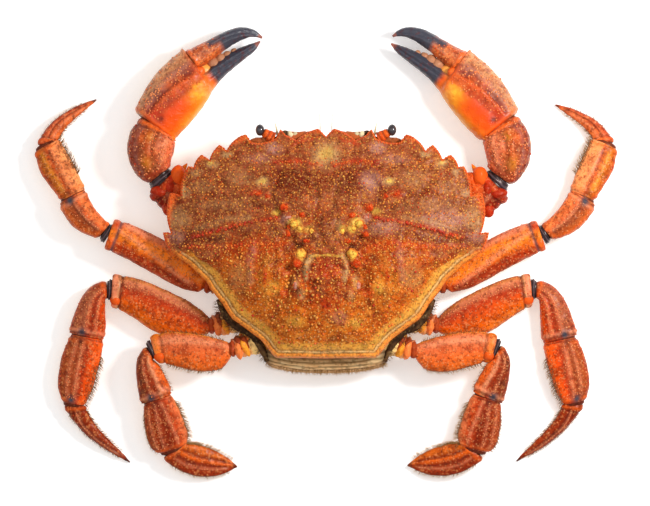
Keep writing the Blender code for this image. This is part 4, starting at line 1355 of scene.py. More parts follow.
def smooth_between(rows: Array, at: Array) -> Array:
    """Values on smooth curves through rows that start with their share.

    Args:
        rows: A share and its values in each row.
        at: The shares asked for.

    Returns:
        One row of values for each share asked for.
    """
    last = len(rows) - 1
    at = np.clip(at, rows[0, 0], rows[-1, 0])
    low = np.clip(np.searchsorted(rows[:, 0], at, side="right") - 1, 0, last - 1)
    before, start, end, after = (rows[np.clip(low + step, 0, last)] for step in (-1, 0, 1, 2))
    span = (end[:, 0] - start[:, 0])[:, None]
    t = (at - start[:, 0])[:, None] / span
    slope_start = (end - before)[:, 1:] / np.maximum(end[:, :1] - before[:, :1], 1e-9) * span
    slope_end = (after - start)[:, 1:] / np.maximum(after[:, :1] - start[:, :1], 1e-9) * span
    return (
        start[:, 1:] * (2 * t**3 - 3 * t**2 + 1)
        + slope_start * (t**3 - 2 * t**2 + t)
        + end[:, 1:] * (3 * t**2 - 2 * t**3)
        + slope_end * (t**3 - t**2)
    )


def turned(vector: Array, angle: float) -> Array:
    """A vector turned about the upright by an angle."""
    c, s = math.cos(math.radians(angle)), math.sin(math.radians(angle))
    return np.array((vector[0] * c - vector[1] * s, vector[0] * s + vector[1] * c, vector[2]))


def heading_vector(heading: float, slope: float = 0.0) -> Array:
    """The unit vector of a heading and a slope."""
    level = math.cos(math.radians(slope))
    way = math.radians(heading)
    return np.array((level * math.cos(way), level * math.sin(way), math.sin(math.radians(slope))))


@dataclass
class MiddleLine:
    """The curved middle line of a limb's segment."""

    start: Array
    end: Array
    turn_in: float
    turn_out: float

    def point(self, t: Array) -> Array:
        """The points at these shares of the line."""
        chord = self.end - self.start
        first, last = turned(chord, self.turn_in), turned(chord, self.turn_out)
        t = np.asarray(t, float)[:, None]
        return (
            self.start * (2 * t**3 - 3 * t**2 + 1)
            + first * (t**3 - 2 * t**2 + t)
            + self.end * (3 * t**2 - 2 * t**3)
            + last * (t**3 - t**2)
        )

    def axes(self, t: Array) -> tuple[Array, Array, Array]:
        """The line's directions at these shares.

        Args:
            t: Shares of the line.

        Returns:
            Unit vectors along the line, level to its left, and up from it.
        """
        chord = self.end - self.start
        first, last = turned(chord, self.turn_in), turned(chord, self.turn_out)
        t = np.asarray(t, float)[:, None]
        along = unit(
            self.start * (6 * t**2 - 6 * t)
            + first * (3 * t**2 - 4 * t + 1)
            + self.end * (6 * t - 6 * t**2)
            + last * (3 * t**2 - 2 * t)
        )
        left = unit(np.cross([[0.0, 0.0, 1.0]], along))
        return along, left, np.cross(along, left)


class Segment:
    """One segment of a limb as a fine tube of points, with its relief, paint, beads and bristles."""

    PITCH = 0.62
    ROUNDNESS = 0.85
    END_RADIUS = 0.9
    END_SHARE = 0.88

    def __init__(self, name: str, line: MiddleLine, plan: Plan, outer_side: int) -> None:
        """Lays out the tube.

        Args:
            name: The segment's name, which fixes its own draws.
            line: Its middle line.
            plan: Its sections and what it carries.
            outer_side: The side of its outer edge along its heading, +1 for left.
        """
        self.name, self.line, self.plan, self.outer_side = name, line, plan, outer_side
        self.seed = zlib.crc32(name.encode())
        self.rng = np.random.default_rng(self.seed)
        self.length = float(np.linalg.norm(line.end - line.start))
        self.t, self.scale, self.body = self._rings()
        sizes = smooth_between(np.array(plan.sections), self.t)
        girth = math.pi * float(sizes[:, :2].sum(1).max() + sizes[:, 2:].sum(1).max()) / 2
        self.columns = 2 * max(12, round(girth / self.PITCH / 2))
        self._tube(sizes)
        self.lift = np.zeros(self.across.shape)
        self.masks = {name: np.zeros(self.across.shape) for name in ("smooth", *dict(LIMB_WASHES))}
        self._apply_marks()

    def _rings(self) -> tuple[Array, Array, Array]:
        """Where the rings stand, from the hollow of the first end to that of the last.

        Returns:
            Shares of the length, scales, and how far each ring belongs to the outside.
        """
        radius, end = self.END_RADIUS, self.END_SHARE
        dish = [(0.9, 0.03, 0.0), (0.8, 0.35, 0.0), (0.3, 0.68, 0.0), (0.0, 0.79, 0.0), (0.0, end, 0.4)]
        turn = [(d * radius, end + (1 - end) * math.sqrt(1 - (1 - d) ** 2), 0.7) for d in (0.15, 0.4, 0.7)]
        first = dish + turn
        last = [] if self.plan.pointed else first[::-1]
        count = max(8, round(self.length / self.PITCH))
        stop = self.length - (0.0 if self.plan.pointed else radius)
        middle = [(d, 1.0, 1.0) for d in np.linspace(radius, stop, count)]
        ends = [(self.length - d, s, b) for d, s, b in last] or [(self.length, 0.05, 1.0)]
        rows = np.array(first + middle + ends)
        return rows[:, 0] / self.length, rows[:, 1], rows[:, 2]

    def _tube(self, sizes: Array) -> None:
        """Sets the tube's points and the directions out of it.

        Args:
            sizes: Inner, outer, upper and lower half sizes of each ring.
        """
        angles = np.arange(self.columns) * 2 * math.pi / self.columns
        cos, sin = np.cos(angles), np.sin(angles)
        level = np.sign(cos) * np.abs(cos) ** self.ROUNDNESS
        upright = np.sign(sin) * np.abs(sin) ** self.ROUNDNESS
        middle = self.line.point(self.t)
        _, left, up = self.line.axes(self.t)
        outward = left * self.outer_side
        inner, outer, above, below = (sizes[:, i : i + 1] * self.scale[:, None] for i in range(4))
        self.half_width = np.where(level > 0, outer, inner)
        half_depth = np.where(upright > 0, above, below)
        self.across = np.broadcast_to(level, self.half_width.shape)
        self.top = np.broadcast_to(fade(sin, -0.15, 0.25), self.half_width.shape)
        self.points = (
            middle[:, None]
            + outward[:, None] * (level * self.half_width)[..., None]
            + up[:, None] * (upright * half_depth)[..., None]
        )
        self.normals = self._normals()

    def _normals(self) -> Array:
        """The directions out of the tube at each of its points."""
        along = np.gradient(self.points, axis=0)
        around = np.roll(self.points, -1, 1) - np.roll(self.points, 1, 1)
        normals = unit(np.cross(around, along))
        away = self.points - self.points.mean(1, keepdims=True)
        flip = np.sign((normals * away).sum(2, keepdims=True))
        return normals * np.where(flip == 0, 1, flip)

    def _apply_marks(self) -> None:
        """Adds every mark's relief and colour."""
        shape = self.across.shape
        flat = self.points.reshape(-1, 3) + self.seed % 97
        patchy = 0.85 + 0.4 * COLOUR_NOISE.at(flat, 2.2, 2).reshape(shape)
        stray = COLOUR_NOISE.at(flat + 31, 6.0, 2).reshape(shape)
        for mark in self.plan.marks:
            share = self._share(mark, stray)
            self.lift += mark.height * share
            if mark.wash:
                even = 1.4 if mark.wash in ("slate", "smooth") else patchy
                painted = np.clip(share * mark.strength * even, 0, 1)
                self.masks[mark.wash] = np.maximum(self.masks[mark.wash], painted)
        rough = RELIEF_NOISE.at(flat, 3.4, 2) + 0.6 * RELIEF_NOISE.at(flat + 9, 1.4, 2)
        self.lift += self.plan.lumpiness * rough.reshape(shape)
        self.masks["pale"] = np.maximum(self.masks["pale"], (1 - self.top) * 0.8)
        # The hollow ends of the tube are painted dark, as shade inside the joint.
        ends = np.repeat(1 - fade(self.body, 0, 0.5)[:, None], shape[1], 1)
        self.masks["dark"] = np.maximum(self.masks["dark"], ends)

    def _share(self, mark: Stripe | Ring | Spot, stray: Array) -> Array:
        """How much a mark weighs at each point.

        Args:
            mark: The mark.
            stray: Noise that makes a stripe wander.

        Returns:
            Weights from 0 to 1.
        """
        t = self.t[:, None]
        if isinstance(mark, Ring):
            slanted = (t - mark.at) * self.length + mark.slant * self.across
            return bell(slanted, 0.0, mark.width)
        if isinstance(mark, Spot):
            gap = ((t - mark.at) * self.length) ** 2 + ((self.across - mark.across) * self.half_width) ** 2
            return np.exp(-gap / mark.radius**2) * self.top
        first, last = mark.reach
        share = (t - first) / max(last - first, 1e-6)
        centre = mark.across[0] + (mark.across[1] - mark.across[0]) * share
        gap = (self.across - centre) * self.half_width + mark.wander * stray
        ends = fade(share, -0.06, 0.06) * fade(share, 1.06, 0.94)
        return bell(gap, 0.0, mark.width) * ends * (1.0 if mark.all_round else self.top)

    def shell(self) -> Surface:
        """The finished tube, closed at its two ends.

        Returns:
            The segment's shell.
        """
        lift = self.lift * self.body[:, None]
        made = closed_tube(self.points + self.normals * lift[..., None])
        painted = {"tone": (self.across + 1) / 2, **self.masks}
        made.masks = {
            name: np.append(mask.ravel(), [mask[0, 0], mask[-1, 0]])
            for name, mask in painted.items()
            if mask.max() > 0.01
        }
        return made

    def joint_skin(self) -> Surface:
        """The dark skin that bridges the joint after the segment.

        Returns:
            A short plug that stands out of the segment's far end.
        """
        row = int(np.nonzero(self.body >= 1)[0][-1])
        ring = self.points[row]
        middle = ring.mean(0)
        along, _, _ = self.line.axes(np.array([1.0]))
        steps = ((-1.2, 0.8), (0.2, 0.84), (1.2, 0.84), (2.0, 0.8), (2.6, 0.6))
        rings = [middle + (ring - middle) * scale + along[0] * away for away, scale in steps]
        made = closed_tube(np.array(rings))
        count = len(made.points)
        made.masks = {"tone": np.full(count, 0.9), "dark": np.full(count, 0.8)}
        return made

    def _nearest(self, t: Array, across: Array) -> tuple[Array, Array]:
        """Points on the upper side and the directions out of it.

        Args:
            t: Shares of the length.
            across: Shares across.

        Returns:
            Points and unit normals.
        """
        angle = np.arccos(np.sign(across) * np.minimum(np.abs(across), 1.0) ** (1 / self.ROUNDNESS))
        column = np.round(angle / (2 * math.pi) * self.columns).astype(int) % self.columns
        row = np.abs(self.t[None] - t[:, None] + (self.body < 1)[None] * 9).argmin(1)
        normals = self.normals[row, column]
        return self.points[row, column] + normals * (self.lift[row, column] - 0.02)[:, None], normals

    def granules(self) -> list[Surface]:
        """The segment's beads.

        Returns:
            One surface for each row or field of them.
        """
        found = []
        for row in self.plan.rows:
            low, high = row.reach
            if isinstance(row, BeadRow):
                t = np.arange(low, high, row.pitch / self.length)
                share = (t - low) / (high - low)
                across = row.across[0] + (row.across[1] - row.across[0]) * share
                across = across + self.rng.normal(0, row.stray / 8, len(t))
            else:
                wide = float(np.median(self.half_width)) * abs(row.across[1] - row.across[0])
                count = int((high - low) * self.length * wide / row.pitch**2)
                t = self.rng.uniform(low, high, count)
                across = self.rng.uniform(*sorted(row.across), count)
            places, normals = self._nearest(t, np.clip(across, -1, 1))
            places = places + self.rng.normal(0, 0.12, places.shape)
            radii = row.radius * self.rng.uniform(0.7, 1.2, len(t))
            tints = np.clip(self.rng.normal(row.tint, 0.13, len(t)), 0, 1)
            found.append(beads(places, normals, radii, tints))
        return found

    def bristles(self) -> list[Surface]:
        """The segment's fringes.

        Returns:
            One surface for each fringe.
        """
        found = []
        for fringe in self.plan.fringes:
            t = np.repeat(np.arange(*fringe.reach, fringe.pitch / self.length), fringe.tuft)
            t = t + self.rng.normal(0, 0.3 / self.length, len(t))
            across = np.full(len(t), fringe.across) + self.rng.normal(0, 0.02, len(t))
            roots, _ = self._nearest(np.clip(t, 0.01, 0.99), np.clip(across, -1, 1))
            along, left, _ = self.line.axes(np.clip(t, 0, 1))
            out = left * self.outer_side * math.copysign(1, fringe.across)
            ways = out + along * fringe.lean + self.rng.normal(0, 0.22, roots.shape)
            bends = along * 0.25 + self.rng.normal(0, 0.08, roots.shape)
            lengths = fringe.length * self.rng.uniform(0.55, 1.1, len(t))
            tints = np.clip(self.rng.normal(fringe.tint, 0.15, len(t)), 0, 1)
            found.append(hairs(roots, ways, bends, lengths, HAIR_THICKNESS, tints))
        return found


class Growth:
    """The beads and bristles of all limbs, which end up as two pieces."""

    def __init__(self) -> None:
        """Starts with none of either."""
        self.granules: list[Surface] = []
        self.bristles: list[Surface] = []

    def take(self, segment: Segment, side: Side) -> None:
        """Grows a segment's beads and bristles on its own side of the crab."""
        for found, kept in ((segment.granules(), self.granules), (segment.bristles(), self.bristles)):
            kept.extend(on_side(surface, side) for surface in found)

    def build(self) -> None:
        """Makes the two pieces."""
        joined = Surface.joined(self.granules)
        joined.build("limb_granules", LIMB_GRANULES.material(), Slot.LIMB)
        Surface.joined(self.bristles).build("limb_bristles", BRISTLES.material(), Slot.LIMB)


def on_side(surface: Surface, side: Side) -> Surface:
    """A surface laid out for the side at +X, on the side asked for."""
    return surface if side is Side.RIGHT else surface.mirrored()


def ball(
    middle: Array, radii: Sequence[float], rough: float, way: Sequence[float] = (1, 0, 0), **masks: float
) -> Surface:
    """A knob, tooth or eye: an egg with an uneven skin.

    Args:
        middle: Its middle.
        radii: Its half sizes along its way, across it and up.
        rough: How far its skin wavers.
        way: The direction that it lies in, seen from above.
        masks: Masks and their strengths all over it.

    Returns:
        The egg.
    """
    rows, columns = 15, 26
    polar = np.linspace(0.08, math.pi - 0.08, rows)[:, None, None]
    around = (np.arange(columns) * 2 * math.pi / columns)[None, :, None]
    shape = np.concatenate(
        [np.sin(polar) * np.cos(around), np.sin(polar) * np.sin(around), np.cos(polar) + 0 * around], 2
    )
    flat = (shape * radii + middle).reshape(-1, 3)
    lift = 1 + rough * RELIEF_NOISE.at(flat, min(radii) * 1.1, 2).reshape(rows, columns, 1)
    c, s = unit(np.array(way[:2], float))
    made = closed_tube((shape * radii * lift) @ np.array(((c, s, 0), (-s, c, 0), (0, 0, 1))) + middle)
    made.masks = {name: np.full(len(made.points), strength) for name, strength in masks.items()}
    return made


def horn(path: Array, radii: Array, columns: int = 14, **masks: float) -> Surface:
    """A spine, stalk or feeler: a tapered round tube along a curve.

    Args:
        path: Its middle line's points.
        radii: Its radius at each.
        columns: Points round it.
        masks: Masks and their strengths at its tip, from nothing at its root.

    Returns:
        The tube.
    """
    along = unit(np.gradient(path, axis=0))
    first = unit(np.cross(along, [[0.11, 0.23, 0.97]]))
    second = np.cross(along, first)
    angles = np.arange(columns) * 2 * math.pi / columns
    ring = first[:, None] * np.cos(angles)[:, None] + second[:, None] * np.sin(angles)[:, None]
    made = closed_tube(path[:, None] + ring * radii[:, None, None])
    share = np.repeat(np.linspace(0, 1, len(path)), columns)
    share = np.append(share, (0.0, 1.0))
    made.masks = {name: share * strength for name, strength in masks.items()}
    return made


def arc(points: Sequence[Triple], t: Array) -> Array:
    """The points at shares t of a curve from the first point to the third, pulled towards the second."""
    start, pull, end = (np.array(point) for point in points)
    return np.outer((1 - t) ** 2, start) + np.outer(2 * t * (1 - t), pull) + np.outer(t**2, end)


def spine(root: Array, tip: Array, radius: float, **masks: float) -> Surface:
    """A curved thorn with a blunt tip.

    Args:
        root: Where it starts.
        tip: Where it ends.
        radius: Its radius at the root.
        masks: Masks and their strengths at its tip.

    Returns:
        The thorn.
    """
    t = np.linspace(0, 1, 14)
    path = root + (tip - root) * t[:, None]
    return horn(path, radius * (1 - t**1.3) ** 0.8 + 0.12, **masks)


# ---------------- leg plans

# The hip's tones are painted brighter than its own colour, as painted light on hips that lie in the
# carapace's shade.
LIT_COXA_SHELL = limb_shell(
    "Hip segment", (0, "#f0a048"), (0.35, "#ffc458"), (0.6, "#f07c2c"), (0.8, "#b84a1c"), (1, "#d87838"),
    layers=(),
)
# Its sunk rings washed dark are painted shade in the grooves between its plates.
HIP_MARKS = (
    Ring(0.2, 3.4, 0.5, "yellow", 0.7, -0.8), Ring(0.4, 0.45, -0.6, "dark", 0.8, -1.6),
    Ring(0.5, 1, 0.4, "orange", 0.6, -1.7), Ring(0.59, 0.5, -0.6, "dark", 0.9, -1.8),
    Ring(0.68, 0.9, 0.4, "cream", 0.7, -1.8), Ring(0.77, 0.6, -0.6, "dark", 0.95, -1.6),
    Ring(0.86, 0.9, 0.4, "pink", 0.7, -1.2), Ring(0.94, 0.5, -0.4, "dark", 0.8, -0.8),
)
HIP_SHELL = dict(finish=LIT_COXA_SHELL, marks=HIP_MARKS)
# Its sunk rings are washed dark as painted shade and its raised ring pale as a painted highlight.
LEG_SKIN = Plan(
    ((0, 4.6, 5.2, 3.8, 3.4), (1, 4, 4.4, 3.4, 3.2)),
    SOFT_SKIN,
    marks=(
        Ring(0.25, 0.3, -0.25, "dark", 0.8), Ring(0.5, 0.3, 0.3, "pale", 0.6),
        Ring(0.78, 0.3, -0.25, "dark", 0.8),
    ),
    lumpiness=0.2,
)


def suture(at: float, inward: float, collar: str) -> tuple[Ring, ...]:
    """The rolled rim and the crease beside a joint, with the crease painted dark as shade.

    Args:
        at: Where the crease is, as a share of the segment's length.
        inward: How far from it the rim lies, as a share of the length.
        collar: The rim's wash.

    Returns:
        The two rings.
    """
    return Ring(at, 0.45, -0.35, "dark", 0.6), Ring(at + inward, 0.8, 0.35, collar, 0.6)


# In the plans below, stripes and rings sunk into the shell and washed dark are painted shade in their
# grooves, and raised lengthwise stripes washed pink are the ridges' paler colour with a painted highlight
# along their crests.
FRONT_MERUS = Plan(
    (
        (0, 3.4, 3.2, 3.2, 3.2), (0.05, 5.8, 5.4, 4, 3.8), (0.2, 7.7, 7.3, 4.8, 4.6), (0.5, 8.2, 7.8, 5, 4.8),
        (0.85, 7.8, 7.5, 4.8, 4.6), (1, 7.3, 7.2, 4.6, 4.4),
    ),
    limb_shell(
        "Front merus", (0, "#e47d5a"), (0.12, "#dd6d44"), (0.3, "#fa7c18"), (0.5, "#fc8018"),
        (0.62, "#f46a10"), (0.75, "#ac2e02"), (0.92, "#b03a18"), (1, "#cc6a50"),
    ),
    turn_out=-8,
    marks=(
        Stripe((0.52, -0.42), 1.2, 0.4, "pink", 0.5, (0.1, 0.95)),
        Stripe((0.86, 0.1), 1.3, -0.35, "dark", 0.35, (0.06, 0.95)),
        Stripe((-0.75, -0.8), 0.9, 0.25, "pink", 0.6, (0.05, 0.9)), Ring(0.93, 0.7, -0.5, "slate", 0.6),
        Ring(0.03, 0.8, 0.3, "orange", 0.6), Spot(0.965, -0.6, 2.4, 0.8, "red", 0.8),
        Spot(0.965, 0.6, 2.4, 0.7, "orange", 0.9), Spot(0.35, -0.2, 2.2, -0.15, "dark", 0.3),
        Spot(0.62, 0.45, 2, -0.15, "dark", 0.3),
    ),
    rows=(
        BeadRow((0.52, -0.42), 0.42, 0.3, (0.1, 0.93), 1.3),
        BeadRow((-0.9, -0.92), 0.4, 0.6, (0.08, 0.9), 1.6),
        BeadField((-0.8, 0.85), (0.06, 0.9), 0.3, 0.35, 2.1),
    ),
)
FRONT_CARPUS = Plan(
    (
        (0, 3.9, 4.2, 3.6, 3.6), (0.2, 3.9, 6.7, 4.4, 4.2), (0.5, 4.4, 8.7, 4.8, 4.4),
        (0.85, 5.4, 8.6, 4.6, 4.2), (1, 5.6, 7.8, 4.3, 4),
    ),
    limb_shell(
        "Front carpus", (0, "#ec6d34"), (0.35, "#f57b3e"), (0.52, "#dc5a26"), (0.6, "#9f431c"),
        (0.9, "#a94d1e"), (1, "#cc5d24"),
    ),
    turn_in=-8, turn_out=14,
    marks=(
        Stripe((0.25, 0.15), 0.8, 0.35, "pink", 0.4, (0.08, 0.95)),
        Stripe((0.42, 0.3), 0.7, -0.3, "dark", 0.5, (0.06, 0.95)),
        Stripe((0.85, 0.8), 0.8, 0.3, "orange", 0.5, (0.1, 0.95)), *suture(0.955, -0.06, "pink"),
        Ring(0.07, 0.7, 0.3, "orange", 0.6), Spot(0.94, 0.35, 1.7, -0.2, "slate", 0.9),
    ),
    rows=(
        BeadRow((0.25, 0.15), 0.36, 0.25, (0.08, 0.92), 1.4),
        BeadRow((0.85, 0.8), 0.36, 0.55, (0.1, 0.92), 1.5), BeadField((-0.8, 0.9), (0.1, 0.9), 0.27, 0.35, 2),
    ),
)
FRONT_PROPODUS = Plan(
    ((0, 5.9, 6.4, 4.2, 4), (0.35, 6.4, 8, 4.6, 4.2), (0.65, 6.4, 8.8, 4.4, 4), (1, 6, 7, 3.8, 3.6)),
    limb_shell(
        "Front propodus", (0, "#ff9e5c"), (0.3, "#ff9656"), (0.5, "#ff8440"), (0.6, "#c44a1c"),
        (0.75, "#dc732a"), (0.88, "#bc5b19"), (1, "#cc4314"),
    ),
    marks=(
        Stripe((0.1, 0.12), 0.7, -0.3, "dark", 0.6, (0.04, 0.9)),
        Stripe((-0.1, -0.08), 0.9, 0.35, "pink", 0.4, (0.05, 0.92)),
        Stripe((0.5, 0.55), 0.9, 0.3, "yellow", 0.35, (0.08, 0.92)), Ring(0.03, 0.5, -0.3, "dark", 0.5),
        Ring(0.09, 0.8, 0.3, "orange", 0.5), Ring(0.94, 0.7, 0.35, "orange", 0.6),
        Spot(0.08, 0.35, 1.8, -0.2, "dark", 0.9), Spot(0.93, 0.4, 1.6, -0.2, "dark", 0.6),
    ),
    rows=(
        BeadRow((-0.1, -0.08), 0.34, 0.25, (0.08, 0.9), 1.4),
        BeadRow((0.5, 0.55), 0.34, 0.3, (0.08, 0.9), 1.4), BeadField((-0.8, 0.9), (0.1, 0.9), 0.26, 0.35, 2),
    ),
    fringes=(
        Fringe(-0.97, (0.3, 0.97), 3.2, 0.42, 0.5, 0.25, 3), Fringe(-0.8, (0.4, 0.95), 2.4, 0.7, 0.5, 0.4)
    ),
)
FRONT_DACTYL = Plan(
    (
        (0, 4.4, 5.2, 2.9, 2.9), (0.17, 4.7, 3, 2.8, 2.8), (0.47, 4, 1.9, 2.3, 2.3),
        (0.75, 2.3, 1.4, 1.6, 1.6), (1, 0.3, 0.3, 0.25, 0.25),
    ),
    limb_shell(
        "Front dactyl", (0, "#d05c24"), (0.2, "#e0682e"), (0.45, "#d45c2c"), (0.5, "#98300e"),
        (0.6, "#e06c40"), (0.8, "#c04c28"), (1, "#9c3418"),
    ),
    turn_in=-52, turn_out=16,
    marks=(
        Stripe((0, 0), 0.5, -0.25, "dark", 0.5, (0.1, 0.85)),
        Stripe((-0.45, -0.4), 0.5, 0.25, "pink", 0.4, (0.08, 0.8)), Ring(0.04, 0.7, 0.35, "orange", 0.6),
        Ring(0.09, 0.4, -0.3, "dark", 0.5), Stripe((0, 0), 9, 0, "dark", 0.75, (0.93, 1.05), all_round=True),
    ),
    rows=(BeadRow((-0.45, -0.4), 0.26, 0.25, (0.08, 0.7), 1.4),),
    fringes=(Fringe(-0.97, (0.06, 0.8), 1.6, 0.5, 0.8, 0.3), Fringe(0.97, (0.1, 0.8), 1.2, 0.6, 0.8, 0.3)),
    pointed=True,
)
MIDDLE_MERUS = Plan(
    (
        (0, 3.4, 2.7, 3.2, 3.2), (0.12, 8.2, 4.9, 4, 4), (0.28, 11.8, 6.5, 4.6, 4.4),
        (0.48, 12.7, 6.9, 4.8, 4.6), (0.68, 11, 7.1, 4.8, 4.6), (0.88, 8.8, 7.4, 4.6, 4.4),
        (1, 7.4, 7.4, 4.4, 4.2),
    ),
    limb_shell(
        "Middle merus", (0, "#e47322"), (0.15, "#dc5904"), (0.4, "#d34704"), (0.6, "#a82c06"),
        (0.75, "#9c3c1c"), (0.86, "#b86038"), (0.95, "#8a380a"), (1, "#7a2a04"),
    ),
    turn_out=17,
    marks=(
        Stripe((0.55, 0.4), 1.5, 0.4, "pink", 0.25, (0.12, 0.9)),
        Stripe((0.9, 0.86), 0.9, 0.3, "yellow", 0.25, (0.1, 0.9)),
        Stripe((0.1, 0), 1.6, -0.2, "red", 0.4, (0.1, 0.9)),
        Stripe((0.7, 0.62), 2, 0, "pink", 0.45, (0.25, 0.9)), Ring(0.915, 0.7, -0.55, "dark", 0.85),
        Ring(0.97, 1.5, 0.3, "pink", 0.9), Ring(0.938, 0.35, 0.1, "cream", 0.7),
        Spot(0.3, -0.45, 2.6, -0.15, "dark", 0.25), Spot(0.55, -0.3, 2.2, -0.15, "red", 0.35),
        Spot(0.8, 0, 2, -0.15, "dark", 0.3),
    ),
    rows=(
        BeadRow((0.55, 0.4), 0.42, 0.28, (0.1, 0.88), 1.3),
        BeadRow((0.92, 0.9), 0.45, 0.6, (0.08, 0.88), 1.5),
        BeadRow((-0.93, -0.93), 0.45, 0.62, (0.12, 0.88), 1.7),
        BeadField((-0.85, 0.85), (0.08, 0.99), 0.3, 0.4, 1.9),
    ),
)
MIDDLE_CARPUS = Plan(
    (
        (0, 3.4, 4, 3.4, 3.4), (0.15, 4, 4.7, 4.2, 4), (0.45, 6.2, 6.3, 4.8, 4.4), (0.8, 8.1, 8, 4.6, 4.2),
        (1, 8.2, 8.4, 4.3, 4),
    ),
    limb_shell(
        "Middle carpus", (0, "#e04c04"), (0.2, "#c03404"), (0.28, "#c8501e"), (0.36, "#b42c04"),
        (0.55, "#b03608"), (0.62, "#a04e30"), (0.9, "#9a4a30"), (1, "#b44e2e"),
    ),
    turn_in=-62, turn_out=12,
    marks=(
        Stripe((-0.42, -0.45), 0.8, 0.35, "pink", 0.3, (0.1, 0.93)),
        Stripe((0.15, 0.15), 0.9, 0.35, "pink", 0.3, (0.1, 0.93)),
        Stripe((-0.15, -0.15), 0.8, -0.3, "dark", 0.4, (0.1, 0.93)), *suture(0.96, -0.055, "pink"),
        Ring(0.06, 0.8, 0.3, "orange", 0.6), Spot(0.93, 0.3, 1.7, -0.2, "slate", 0.9),
    ),
    rows=(
        BeadRow((-0.42, -0.45), 0.36, 0.25, (0.1, 0.92), 1.3),
        BeadRow((0.15, 0.15), 0.36, 0.3, (0.1, 0.92), 1.4),
        BeadRow((0.9, 0.92), 0.4, 0.65, (0.15, 0.92), 1.6),
        BeadField((-0.85, 0.85), (0.08, 0.9), 0.28, 0.4, 2),
    ),
)
MIDDLE_PROPODUS = Plan(
    (
        (0, 8, 7.2, 4.2, 4), (0.25, 8.4, 9.2, 4.6, 4.2), (0.5, 7.8, 9.9, 4.6, 4.2), (0.8, 6.6, 8.9, 4.2, 3.8),
        (1, 4.4, 5.6, 3.6, 3.4),
    ),
    limb_shell(
        "Middle propodus", (0, "#f45b14"), (0.25, "#ea4d0a"), (0.42, "#cc380a"), (0.5, "#b63c12"),
        (0.58, "#c05028"), (0.68, "#a24018"), (0.9, "#a0441c"), (1, "#a03614"),
    ),
    marks=(
        Stripe((0.12, 0.1), 0.9, 0.35, "pink", 0.4, (0.06, 0.93)),
        Stripe((-0.08, -0.1), 0.7, -0.3, "dark", 0.4, (0.06, 0.93)),
        Stripe((0.5, 0.55), 0.9, 0.3, "pink", 0.3, (0.06, 0.93)),
        Stripe((0.32, 0.35), 0.7, -0.25, "dark", 0.3, (0.06, 0.93)), Ring(0.03, 0.5, -0.3, "dark", 0.5),
        Ring(0.08, 0.9, 0.3, "orange", 0.4), Ring(0.95, 0.7, 0.35, "orange", 0.6),
        Spot(0.07, 0.3, 1.8, -0.2, "dark", 0.9), Spot(0.94, 0.3, 1.8, -0.2, "slate", 0.8),
    ),
    rows=(
        BeadRow((0.12, 0.1), 0.34, 0.28, (0.08, 0.92), 1.3),
        BeadRow((0.5, 0.55), 0.34, 0.3, (0.08, 0.92), 1.4),
        BeadRow((0.92, 0.9), 0.38, 0.65, (0.08, 0.92), 1.6),
        BeadField((-0.85, 0.9), (0.08, 0.92), 0.28, 0.4, 2),
    ),
    fringes=(
        Fringe(-0.97, (0.25, 0.98), 3, 0.42, 0.6, 0.4, 3), Fringe(-0.8, (0.4, 0.95), 2.2, 0.7, 0.6, 0.5)
    ),
)
MIDDLE_DACTYL = Plan(
    (
        (0, 4.8, 5.2, 2.9, 2.9), (0.2, 5.4, 2.2, 2.8, 2.8), (0.45, 4.7, 1.4, 2.4, 2.4),
        (0.7, 3.1, 1.2, 1.8, 1.8), (1, 0.3, 0.3, 0.25, 0.25),
    ),
    limb_shell(
        "Middle dactyl", (0, "#8e2c08"), (0.3, "#902804"), (0.45, "#6c1404"), (0.55, "#a03c14"),
        (0.62, "#6c1404"), (0.8, "#822408"), (1, "#7c2008"),
    ),
    turn_in=-44, turn_out=12,
    marks=(
        Stripe((-0.25, -0.2), 0.5, -0.25, "dark", 0.5, (0.1, 0.85)),
        Stripe((0, 0), 0.5, 0.3, "pink", 0.4, (0.08, 0.85)), Ring(0.04, 0.7, 0.35, "orange", 0.5),
        Ring(0.09, 0.4, -0.3, "dark", 0.5), Stripe((0, 0), 9, 0, "dark", 0.8, (0.92, 1.05), all_round=True),
    ),
    rows=(BeadRow((0, 0), 0.26, 0.28, (0.1, 0.75), 1.4),),
    fringes=(Fringe(-0.97, (0.06, 0.85), 1.6, 0.5, 0.8, 0.4), Fringe(0.97, (0.1, 0.85), 1.2, 0.6, 0.8, 0.4)),
    pointed=True,
)
REAR_MERUS = Plan(
    (
        (0, 2.8, 2.8, 3, 3), (0.1, 8.4, 4.2, 3.8, 3.6), (0.3, 10.8, 5.6, 4.4, 4), (0.5, 10.8, 6.3, 4.6, 4),
        (0.7, 9.4, 6.7, 4.4, 4), (0.9, 7.4, 6.6, 4.2, 3.8), (1, 6.2, 6.2, 4, 3.6),
    ),
    limb_shell(
        "Rear merus", (0, "#e46314"), (0.3, "#e86324"), (0.55, "#e4703c"), (0.8, "#e47d54"),
        (0.93, "#dc6b32"), (1, "#ec8d1a"),
    ),
    turn_out=17,
    marks=(
        Stripe((0.5, 0.35), 1.4, 0.35, "pink", 0.5, (0.12, 0.88)),
        Stripe((0, -0.1), 1.6, -0.2, "red", 0.3, (0.1, 0.88)), Ring(0.885, 0.6, -0.5, "dark", 0.7),
        Ring(0.95, 1.3, 0.35, "yellow", 0.3), Ring(0.94, 1.5, 0, "orange", 0.5),
        Spot(0.35, -0.4, 2.2, -0.15, "red", 0.3), Spot(0.6, -0.2, 2, -0.15, "dark", 0.2),
    ),
    rows=(
        BeadRow((0.5, 0.35), 0.38, 0.25, (0.1, 0.86), 1.3),
        BeadRow((0.92, 0.9), 0.38, 0.4, (0.08, 0.86), 1.5),
        BeadField((-0.85, 0.85), (0.08, 0.99), 0.28, 0.35, 1.8),
    ),
    fringes=(Fringe(-0.97, (0.1, 0.85), 2.4, 0.5, 0.3, 0.35), Fringe(0.97, (0.1, 0.85), 2, 0.6, 0.3, 0.35)),
)
